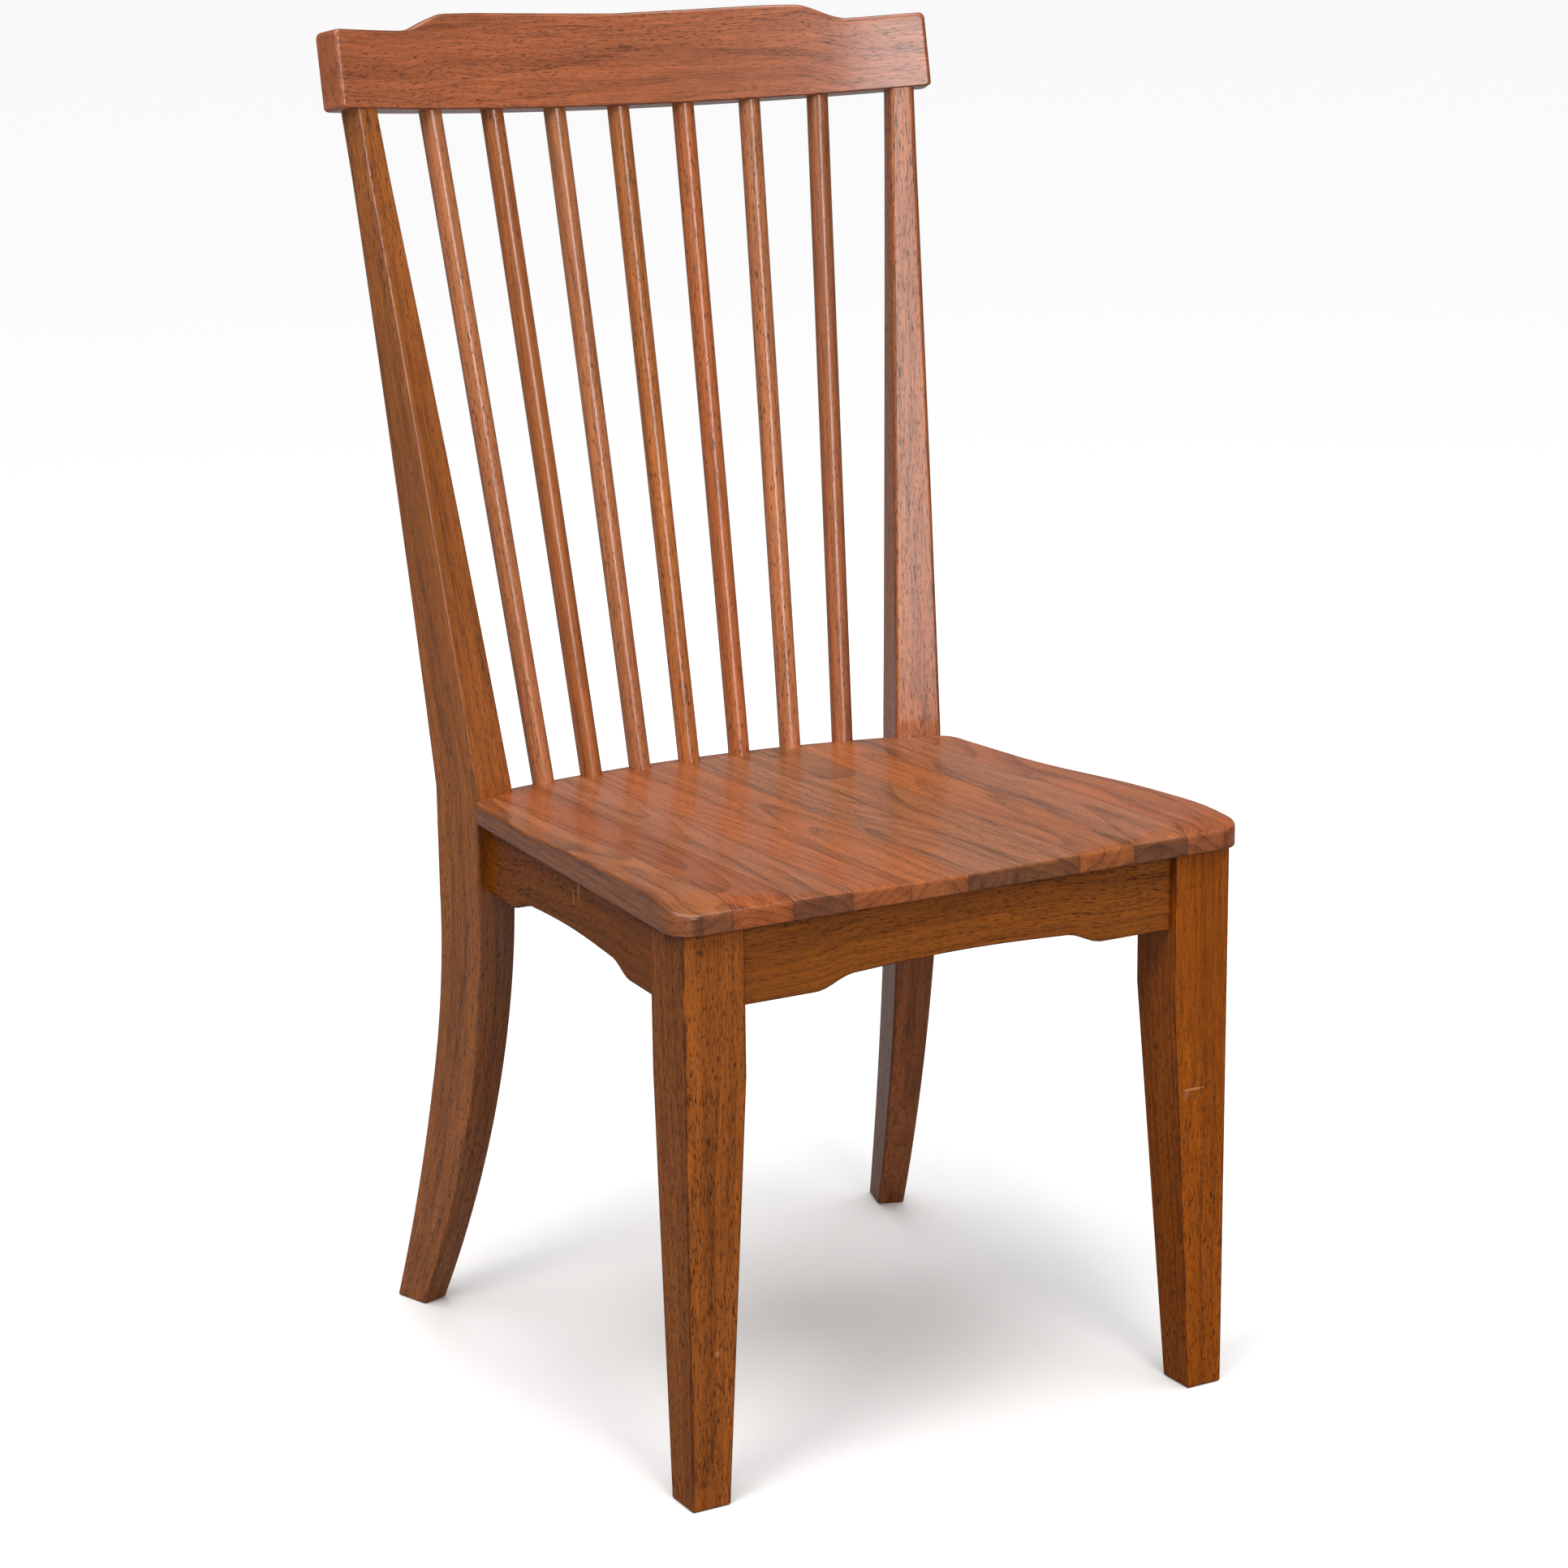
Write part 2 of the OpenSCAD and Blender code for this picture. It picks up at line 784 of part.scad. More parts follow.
module side_apron_dowels() {
  for (z = dowel_zs) {
    apron_frame()
      translate([-apron_t / 2, dowel_l / 2, z])
        rotate([90, 0, 0])
          cylinder(d = dowel_d, h = dowel_l / 2 + leg_dowel);
    apron_frame()
      translate([-apron_t / 2, side_end, z])
        rotate([90, 0, 0])
          cylinder(d = dowel_d, h = dowel_l, center = true);
  }
}

module rear_apron_dowels() {
  for (z = [dowel_zs[0] + 9, dowel_zs[1] - 9])
    translate([post_gap(rear_apron_y + apron_t / 2), rear_apron_y + apron_t / 2, z])
      rotate([0, 90, 0])
        cylinder(d = dowel_d, h = dowel_l, center = true);
}

module right_dowels() {
  front_apron_dowels();
  side_apron_dowels();
  rear_apron_dowels();
}

module apron_dowels() {
  color([0.78, 0.60, 0.40])
    placed() {
      right_dowels();
      mirror([1, 0, 0]) right_dowels();
    }
}

// ---------- hanger bolts ----------

bolt_z = block_z + block_h / 2;
washer_t = 2;
nut_h = 6.5;
leg_thread = 30;
bolt_out = block_gap + block_deep + washer_t + nut_h + 5;

// Frame on the leg's corner flat: local z points away from the leg
module bolt_frame() {
  translate([cut_mid[0], cut_mid[1], bolt_z])
    rotate([0, 0, 135])
      rotate([0, 90, 0])
        children();
}

module hanger_bolt() {
  bolt_frame() translate([0, 0, -leg_thread]) cylinder(d = bolt_d, h = leg_thread + bolt_out);
}

module hanger_bolt_hole() {
  bolt_frame() translate([0, 0, -leg_thread]) cylinder(d = bolt_d + 1, h = leg_thread + bolt_out);
}

module hanger_bolts() {
  color([0.70, 0.70, 0.68])
    placed() {
      hanger_bolt();
      mirror([1, 0, 0]) hanger_bolt();
    }
}

module washer() {
  bolt_frame()
    translate([0, 0, block_gap + block_deep])
      difference() {
        cylinder(d = washer_d, h = washer_t);
        translate([0, 0, -1]) cylinder(d = bolt_d + 0.6, h = washer_t + 2);
      }
}

module bolt_washers() {
  color([0.72, 0.72, 0.70])
    placed() {
      washer();
      mirror([1, 0, 0]) washer();
    }
}

module nut() {
  bolt_frame()
    translate([0, 0, block_gap + block_deep + washer_t])
      difference() {
        cylinder(d = 15, h = nut_h, $fn = 6);
        translate([0, 0, -1]) cylinder(d = bolt_d, h = nut_h + 2);
      }
}

module bolt_nuts() {
  color([0.72, 0.72, 0.70])
    placed() {
      nut();
      mirror([1, 0, 0]) nut();
    }
}

// ---------- wood screws ----------

// Countersunk wood screw: head face at the origin, thread towards local -z
module wood_screw(l) {
  union() {
    translate([0, 0, -l]) cylinder(d = screw_d, h = l);
    translate([0, 0, -screw_d * 0.6]) cylinder(d1 = screw_d, d2 = screw_d * 2, h = screw_d * 0.6);
  }
}

screw_in = 15;

// Screws of the right front block: one into the front apron, one into the side apron
module front_block_screws() {
  x1 = block_out[0] - (block_out[1] - front_in_y) - block_deep * 0.9;
  t1 = block_deep * 1.414 - block_deep * 0.9;
  translate([x1, front_in_y + t1, bolt_z])
    rotate([90, 0, 0])
      wood_screw(t1 + screw_in);
  y2 = block_out[1] + (side_in_x - block_out[0]) + block_deep * 0.9 - leg_w;
  apron_frame()
    translate([-apron_t - t1, y2, bolt_z])
      rotate([0, -90, 0])
        wood_screw(t1 + screw_in);
}

module rear_block_screws() {
  t1 = block_deep * 1.414 - block_deep * 0.9;
  translate([rear_out[0] - rear_reach - block_deep * 0.9, rear_apron_y - t1, bolt_z])
    rotate([-90, 0, 0])
      wood_screw(t1 + screw_in);
  apron_frame()
    translate([-apron_t - t1, rear_side_y - leg_w - block_deep * 0.9, bolt_z])
      rotate([0, -90, 0])
        wood_screw(t1 + screw_in);
}

module right_block_screws() {
  front_block_screws();
  rear_block_screws();
}

module block_screws() {
  color([0.75, 0.62, 0.32])
    placed() {
      right_block_screws();
      mirror([1, 0, 0]) right_block_screws();
    }
}

// Screws that hold the seat, up through each corner block
seat_bite = 8;
module up_screw(p) {
  translate([p[0], p[1], block_z]) rotate([180, 0, 0]) wood_screw(block_h + seat_bite);
}

module front_seat_screw() {
  up_screw(cut_mid + diag * (block_gap + block_deep / 2) + [-17, -17]);
}

module rear_seat_screw() {
  up_screw([rear_out[0] + 6 - block_deep * 0.35, rear_out[1] - 6 - block_deep * 0.35]);
}

module all_seat_screws() {
  front_seat_screw();
  rear_seat_screw();
  mirror([1, 0, 0]) front_seat_screw();
  mirror([1, 0, 0]) rear_seat_screw();
}

module seat_screws() {
  color([0.75, 0.62, 0.32]) placed() all_seat_screws();
}

// ---------- nodes ----------

module stave(n) {
  color(n % 3 == 0 ? [0.62, 0.36, 0.22] : n % 3 == 1 ? [0.58, 0.32, 0.19] : [0.65, 0.38, 0.23])
    placed() seat_stave(n);
}

module spindle(n) {
  color([0.55, 0.30, 0.17]) placed() spindle_solid(n - 1 - spindle_side);
}

crest_rail();
left_back_post();
right_back_post();
spindle(1);  // spindle_1
spindle(2);  // spindle_2
spindle(3);  // spindle_3
spindle(4);  // spindle_4
spindle(5);  // spindle_5
spindle(6);  // spindle_6
spindle(7);  // spindle_7
stave(1);  // seat_stave_1
stave(2);  // seat_stave_2
stave(3);  // seat_stave_3
stave(4);  // seat_stave_4
stave(5);  // seat_stave_5
stave(6);  // seat_stave_6
stave(7);  // seat_stave_7
stave(8);  // seat_stave_8
stave(9);  // seat_stave_9
stave(10);  // seat_stave_10
left_front_leg();
right_front_leg();
front_apron();
rear_apron();
left_side_apron();
right_side_apron();
front_left_block();
front_right_block();
rear_left_block();
rear_right_block();
apron_dowels();
hanger_bolts();
bolt_washers();
bolt_nuts();
block_screws();
seat_screws();
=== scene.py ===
"""Spindle-back dining chair in stained hardwood: boards, posts, spindles and fittings on the packed frame."""

import math

import bpy
import numpy as np
from mathutils import Matrix, Vector


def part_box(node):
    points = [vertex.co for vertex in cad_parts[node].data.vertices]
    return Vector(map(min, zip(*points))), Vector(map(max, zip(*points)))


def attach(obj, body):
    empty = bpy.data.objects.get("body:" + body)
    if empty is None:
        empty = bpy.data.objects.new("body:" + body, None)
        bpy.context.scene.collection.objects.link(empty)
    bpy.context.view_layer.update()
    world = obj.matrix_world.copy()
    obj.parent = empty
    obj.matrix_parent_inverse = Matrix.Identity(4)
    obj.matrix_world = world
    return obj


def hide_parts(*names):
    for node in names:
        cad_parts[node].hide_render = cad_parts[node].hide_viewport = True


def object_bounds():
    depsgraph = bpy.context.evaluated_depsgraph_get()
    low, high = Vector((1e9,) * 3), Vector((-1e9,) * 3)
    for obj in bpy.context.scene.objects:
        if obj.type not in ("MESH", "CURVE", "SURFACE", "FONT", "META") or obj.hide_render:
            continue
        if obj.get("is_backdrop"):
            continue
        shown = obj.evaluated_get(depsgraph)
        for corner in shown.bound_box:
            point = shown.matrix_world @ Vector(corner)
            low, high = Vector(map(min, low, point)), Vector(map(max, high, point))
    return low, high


bl_info = {
    "name": "Spindle-back dining chair",
    "version": (1, 0, 0),
    "blender": (4, 5, 0),
    "location": "View3D > Sidebar > Chair",
    "description": "Builds a solid wood dining chair with a plank seat and a spindle back",
    "category": "Object",
}

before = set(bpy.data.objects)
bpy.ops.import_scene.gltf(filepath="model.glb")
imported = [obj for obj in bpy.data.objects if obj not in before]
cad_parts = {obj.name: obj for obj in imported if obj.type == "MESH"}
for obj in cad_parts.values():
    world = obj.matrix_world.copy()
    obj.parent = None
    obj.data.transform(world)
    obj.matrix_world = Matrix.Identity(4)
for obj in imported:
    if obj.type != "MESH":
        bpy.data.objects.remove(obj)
RNG_SEED = 41
FINISHES = {}
# The working origin is on the floor, midway between the front faces of the front legs
FRONT_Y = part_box("right_front_leg")[0].y
CAD_LOW, CAD_HIGH = (Vector(c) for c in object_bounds())

# Shape values that stand behind the panel's sizes: millimetres, unless a line says otherwise
SEAT_ARC = 760.0  # plan radius of the seat's rear edge
RIM_PEAK, RIM_FALL = 70.0, 215.0  # depth at which the sides are highest, and their run down to the rear
RIM_POWER = 0.62  # how fast the sides rise from the front edge; a lower power is faster
DISH_SLOPE = 0.35  # degrees that the dish falls towards the back
SEAT_FILLET = 1.6  # softening where the seat's surfaces cross
LIP_DROP, LIP_RUN = 7.0, 32.0  # fall behind the spindles, and its run
JOINT_GAP, JOINT_GROOVE = 0.16, 0.22  # half width and depth of the fine groove at a glue joint
BLOCK_BELOW, BLOCK_ABOVE = 9.0, 4.0  # square part of a post below the aprons and above the seat
FOOT_REACH, FOOT_POWER = 0.57, 1.8  # share of the lower post where its depth grows, and the curve's power
TAPER_REACH = 0.91  # share of the upper post where its depth shrinks
KICK_POWER, BACK_BOW = 1.85, 0.1  # power of the foot's kick, and share of the lean that is a bow
SHOULDER, SHOULDER_RUN, SWELL = 125.0, 60.0, 1.5  # crest rail's soft shoulders: place, length and rise
EAR_START, EAR_RUN = 158.0, 46.0  # where the rail's edge eases down to the ears, and its run
RAIL_ARRIS, RAIL_TIP = 3.2, 5.0  # rounding along the rail, and seen from the front at its ends
POST_SOFT = (2.6, 5.0)  # corner radius of a post at the seat, and at the top
POST_BEVEL, LEG_BEVEL = 1.2, 1.4  # bevel under a foot
FOOT_SHIFT = 2.5  # how far inwards a post's foot stands from under its block
POST_IN_RAIL, SPINDLE_IN_RAIL = 5.0, 1.5  # how far the bars run on inside the crest rail
SPINDLE_START, SPINDLE_CLEAR = 5.0, 0.02  # height above the seat's underside, and play in its hole
LEG_ARRIS, LEG_RUN_OUT = 1.5, 12.0  # rounding of a leg, and radius on which its corner flat runs out
APRON_MEET, APRON_BEHIND = 9.0, 6.6  # where the aprons meet a post: in from its side, back from its front
PLAIN_FRONT, PLAIN_REAR, PLAIN_SIDE = 62.0, 52.0, 54.0  # plain ends of the aprons' lower edges
SHARP_ANGLE = 38.0  # degrees between two faces past which their edge is drawn sharp
OBJECT_PLACE = 3  # number of the Object output on a Texture Coordinate node


# ---------- small helpers ----------


def mm(value):
    """Metres to millimetres, the unit of every shape function below."""
    return value * 1000.0


def lin(r, g, b):
    """Linear colour from 8-bit display values, by the display curve's inverse."""
    c = np.array([r, g, b]) / 255.0
    return tuple(float(v) for v in np.where(c <= 0.04045, c / 12.92, ((c + 0.055) / 1.055) ** 2.4))


def lerp(a, b, t):
    """Straight blend from a to b."""
    return a + (b - a) * t


def ease(t):
    """Smooth step: 3 t squared less 2 t cubed, held between 0 and 1."""
    c = np.clip(t, 0.0, 1.0)
    return c * c * (3.0 - 2.0 * c)


def soft_min(a, b, k):
    """Lower of a and b, with a fillet about k wide where they cross."""
    h = np.clip(0.5 + 0.5 * (b - a) / k, 0.0, 1.0)
    return lerp(b, a, h) - k * h * (1.0 - h)


def cosd(a):
    """Cosine of an angle in degrees."""
    return math.cos(math.radians(a))


def sind(a):
    """Sine of an angle in degrees."""
    return math.sin(math.radians(a))


def quarter_round(radius, t):
    """Inset and drop of a rounded arris at angle t: the radius less its cosine and sine parts."""
    return radius * (1.0 - math.cos(t)), radius * (1.0 - math.sin(t))


# ---------- sizes and colours ----------


def length(name, description, default):
    """Panel size, in metres."""
    return bpy.props.FloatProperty(
        name=name, description=description, default=default, unit="LENGTH", subtype="DISTANCE", precision=4
    )


def angle(name, description, degrees):
    """Panel angle, given here in degrees."""
    return bpy.props.FloatProperty(
        name=name, description=description, default=math.radians(degrees), unit="ROTATION", subtype="ANGLE"
    )


def share(name, description, default):
    """Panel value between 0 and 1."""
    return bpy.props.FloatProperty(
        name=name, description=description, default=default, min=0.0, max=1.0, subtype="FACTOR"
    )


def power(name, description, default):
    """Panel value for the power of a softbox, in watts."""
    return bpy.props.FloatProperty(name=name, description=description, default=default, unit="POWER")


def colour(name, description, rgb):
    """Panel colour, given here as 8-bit display values."""
    return bpy.props.FloatVectorProperty(
        name=name, description=description, default=lin(*rgb), size=3, subtype="COLOR", min=0.0, max=1.0
    )


class CHAIR_PG_seat(bpy.types.PropertyGroup):
    """Sizes of the plank seat."""

    base: length("Underside", "Height of the seat's underside", 0.436)
    front_half: length("Half width", "Half of the widest width, near the front", 0.2445)
    nose: length("Nose", "Overhang in front of the front legs", 0.008)
    back: length("Back edge", "Depth to the middle of the rear edge", 0.446)
    front_radius: length("Front radius", "Radius of the front corners in plan", 0.020)
    rear_radius: length("Rear radius", "Radius of the rear corners in plan", 0.025)
    rim: length("Rim", "Thickness at the raised sides", 0.024)
    front: length("Front", "Thickness at the front edge", 0.014)
    rear: length("Rear", "Thickness in front of the spindles", 0.016)
    dish: length("Dish", "Thickness at the bottom of the dish", 0.013)
    board: length("Board", "Width of one glued board", 0.0488)
    shift: length("Joint offset", "Sideways offset of the middle glue joint", -0.0045)
    edge: length("Edge radius", "Rounding of the upper outer edge", 0.0024)


class CHAIR_PG_back(bpy.types.PropertyGroup):
    """Sizes of the posts, spindles and crest rail."""

    turn: angle("Turn", "Turn of each post about the vertical", 17.5)
    post_x: length("Post", "Distance of the post's inner front corner from the middle", 0.1788)
    post_set: length("Post set", "Distance of that corner in front of the seat's rear edge", 0.0536)
    post_w: length("Post width", "Width at the seat", 0.039)
    post_d: length("Post depth", "Depth at the seat", 0.049)
    kick: length("Kick", "How far the foot kicks back", 0.096)
    foot_w: length("Foot width", "Width at the floor", 0.024)
    foot_d: length("Foot depth", "Depth at the floor", 0.0345)
    top_w: length("Top width", "Thickness under the crest rail", 0.0225)
    top_x: length("Top spread", "Distance of the post's axis from the middle at the crest rail", 0.2454)
    rail_r: length("Rail radius", "Radius of the crest rail's front face", 0.768)
    rail_over: length("Rail overhang", "Length of the rail beyond the post's axis", 0.0206)
    rail_t: length("Rail thickness", "Thickness of the crest rail", 0.025)
    rail_h: length("Rail height", "Height of the crest rail at its middle", 0.075)
    ear_h: length("Ear height", "Height of the flat ears", 0.0615)
    rail_z: length("Rail rise", "Height of the rail's lower front edge above the seat's underside", 0.542)
    rail_y: length("Rail rake", "Distance of that edge behind the seat", 0.074)
    lean: angle("Lean", "Lean of the crest rail", 11.0)
    spindle_d: length("Spindle", "Diameter of a spindle", 0.018)
    spindle_low: length("Low spacing", "Spacing of the spindles at the seat", 0.0465)
    spindle_high: length("High spacing", "Spacing of the spindles at the rail", 0.059)
    spindle_set: length("Spindle set", "Distance of the spindles in front of the rear edge", 0.018)


class CHAIR_PG_base(bpy.types.PropertyGroup):
    """Sizes of the front legs, aprons and blocks."""

    spread: length("Spread", "Distance over the outer faces of the front legs", 0.472)
    leg_w: length("Leg", "Width and depth of a front leg at the top", 0.050)
    foot_w: length("Foot width", "Width at the floor", 0.0315)
    foot_d: length("Foot depth", "Depth at the floor", 0.033)
    taper: length("Taper", "Height at which the taper starts", 0.325)
    cut: length("Corner cut", "Flat on the inner corner", 0.012)
    apron_h: length("Apron height", "Height of an apron at its ends", 0.0605)
    apron_t: length("Apron thickness", "Thickness of an apron", 0.020)
    reveal: length("Reveal", "How far an apron stands back from the legs", 0.007)
    scallop: length("Scallop", "Rise of the scalloped lower edge", 0.0095)
    step: length("Step", "Length of the curved step beside each flat", 0.032)
    arch: length("Arch", "Extra rise of the shallow arch", 0.003)


class CHAIR_PG_finish(bpy.types.PropertyGroup):
    """Stain, glaze and metal colours."""

    seat: colour("Seat stain", "Middle tone of the seat", (148, 85, 52))
    rail: colour("Rail stain", "Middle tone of the crest rail", (166, 100, 72))
    spindle: colour("Spindle stain", "Middle tone of the spindles", (176, 107, 68))
    post: colour("Post stain", "Middle tone of the back posts", (166, 94, 46))
    leg: colour("Leg stain", "Middle tone of the front legs", (152, 84, 40))
    apron: colour("Apron stain", "Middle tone of the aprons", (144, 76, 23))
    block: colour("Block", "Middle tone of the unstained blocks", (176, 134, 88))
    glaze: colour("Glaze", "Dark glaze in pores, joints and along edges", (58, 26, 14))
    filler: colour("Filler", "Pale filler in small repairs", (214, 150, 108))
    gloss: share("Lacquer", "Weight of the satin lacquer over the stain", 0.32)


class CHAIR_PG_stage(bpy.types.PropertyGroup):
    """Floor, light and camera."""

    floor: colour("Floor", "Plain pale floor", (253, 253, 253))
    eye: bpy.props.FloatVectorProperty(
        name="Camera", description="Place of the camera", default=(-1.36821, -2.41914, 1.13122), size=3,
        unit="LENGTH", subtype="TRANSLATION",
    )
    heading: angle("Heading", "Turn of the view to the right of straight ahead", 29.5463)
    dip: angle("Dip", "How far the view looks down", 13.6066)
    roll: angle("Roll", "Turn of the camera about its view", -0.67896)
    lens: bpy.props.FloatProperty(
        name="Lens", description="Focal length on a 36 mm wide film", default=82.897, unit="CAMERA"
    )
    key: bpy.props.FloatProperty(name="Key", description="Strength of the broad overhead light", default=2.9)
    fill: share("Fill", "Strength of the light from all round, as the chair receives it", 0.10)
    bounce: share("Bounce", "Share of the floor's brightness that reaches the chair", 0.22)
    front: power("Front", "Power of the front softbox", 42.0)
    left: power("Left", "Power of the left softbox", 44.0)
    rear: power("Rear", "Power of the light on the back", 24.0)
    behind: power("Behind", "Power of the softbox that the seat reflects", 2.5)


# ---------- meshes ----------


def finish_mesh(name, points, faces, notes):
    """Object from points in the working frame (mm), blocks of face rows, and notes for the materials."""
    mesh = bpy.data.meshes.new(name)
    place = (points + [0.0, FRONT_Y * 1000.0, 0.0]) * 0.001
    quads = [tuple(int(i) for i in f) for block in faces for f in block]
    mesh.from_pydata(place.tolist(), [], quads)
    for key, values in notes.items():
        layer = mesh.attributes.new(key, "FLOAT_VECTOR", "POINT")
        layer.data.foreach_set("vector", np.ascontiguousarray(values, np.float32).ravel())
    mesh.shade_smooth()
    mesh.set_sharp_from_angle(angle=math.radians(SHARP_ANGLE))
    mesh.validate()
    obj = bpy.data.objects.new(name, mesh)
    bpy.context.scene.collection.objects.link(obj)
    weighting = obj.modifiers.new("Face weighting", "WEIGHTED_NORMAL")
    weighting.keep_sharp = True
    weighting.weight = 60
    return obj


def facts_of(across, through, along, half_a, half_t, half_l):
    """Six numbers a point, in mm: its place in the board, and the board's half sizes there."""
    return np.stack(np.broadcast_arrays(across, through, along, half_a, half_t, half_l), -1)


def wood_notes(facts, rng):
    """A board's place, half sizes (mm), own tone, and grain coordinates (m) about an off-centre pith."""
    place, half = facts[:, :3], facts[:, 3:]
    pith = rng.uniform([-22.0, 14.0], [22.0, 60.0])
    start = rng.uniform(0.0, 40.0)
    grain = (place + [*pith, 0.0]) * 0.001 + [0.0, 0.0, start]
    tone = np.broadcast_to(rng.uniform(0.0, 1.0, 3), place.shape)
    return {"grain": grain, "place": place, "half": half, "tone": tone}


def slab(name, at, us, vs, rng, mirror=False, turns=4):
    """Closed board: two faces on a (u, v) grid joined round the rim by a quarter round at each arris.

    at(u, v, t, face) gives the points and their facts for grid values u and v, rounding angle t (0 on the rim
    wall, a quarter turn on the face) and face (+1 outer, -1 inner).
    """
    gu, gv = np.meshgrid(us, vs, indexing="ij")
    nu, nv = gu.shape
    index = np.arange(nu * nv).reshape(nu, nv)
    rim = np.concatenate([index[:-1, 0], index[-1, :-1], index[:0:-1, -1], index[0, :0:-1]])
    flat_u, flat_v = gu.ravel(), gv.ravel()
    angles = np.linspace(math.pi / 2, 0.0, turns + 1)
    chunks = [at(flat_u, flat_v, angles[0], 1)]
    loops = [rim]
    count = nu * nv
    for face, seq in ((1, angles[1:]), (-1, angles[:0:-1])):
        for t in seq:
            chunks.append(at(flat_u[rim], flat_v[rim], t, face))
            loops.append(count + np.arange(len(rim)))
            count += len(rim)
    chunks.append(at(flat_u, flat_v, angles[0], -1))
    loops.append(count + rim)
    points = np.concatenate([c[0] for c in chunks])
    facts = np.concatenate([c[1] for c in chunks])
    grid = np.stack([index[:-1, :-1], index[1:, :-1], index[1:, 1:], index[:-1, 1:]], -1).reshape(-1, 4)
    faces = [grid, (grid + count)[:, ::-1]]
    for a, b in zip(loops[:-1], loops[1:]):
        faces.append(np.stack([a, b, np.roll(b, -1), np.roll(a, -1)], 1))
    if mirror:
        points = points * [-1.0, 1.0, 1.0]
        faces = [f[:, ::-1] for f in faces]
    return finish_mesh(name, points, faces, wood_notes(facts, rng))


def loft(name, rings, facts, rng, mirror=False):
    """Closed bar: rings of points (station, point, xyz) joined by strips, with a flat cap at each end."""
    ns, nr, _ = rings.shape
    index = np.arange(ns * nr).reshape(ns, nr)
    a, b = index[:-1], index[1:]
    strips = np.stack([a, np.roll(a, -1, 1), np.roll(b, -1, 1), b], -1).reshape(-1, 4)
    faces = [strips, [index[0][::-1]], [index[-1]]]
    points = rings.reshape(-1, 3)
    if mirror:
        points = points * [-1.0, 1.0, 1.0]
        faces = [strips[:, ::-1], [index[0]], [index[-1][::-1]]]
    return finish_mesh(name, points, faces, wood_notes(facts.reshape(-1, 6), rng))


def round_box(low_a, high_a, low_b, high_b, radius, per=6):
    """Rounded rectangle at each station: a corner is a quarter circle about a centre set in by its radius."""
    quarter = np.linspace(0.0, math.pi / 2, per)
    turn = np.concatenate([quarter + k * math.pi / 2 for k in range(4)])
    side_a = np.repeat([1.0, 0.0, 0.0, 1.0], per)
    side_b = np.repeat([1.0, 1.0, 0.0, 0.0], per)
    r = radius[:, None]
    ca = lerp(low_a[:, None] + r, high_a[:, None] - r, side_a[None])
    cb = lerp(low_b[:, None] + r, high_b[:, None] - r, side_b[None])
    return ca + r * np.cos(turn), cb + r * np.sin(turn)


def settle(obj, slot, material, *nodes):
    """Gives a finished piece its material and the body it rides on, and hides the frame nodes it stands for.
    """
    obj.data.materials.clear()
    obj.data.materials.append(material)
    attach(obj, "root")
    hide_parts(*nodes)
    return obj


# ---------- shapes shared by several pieces ----------


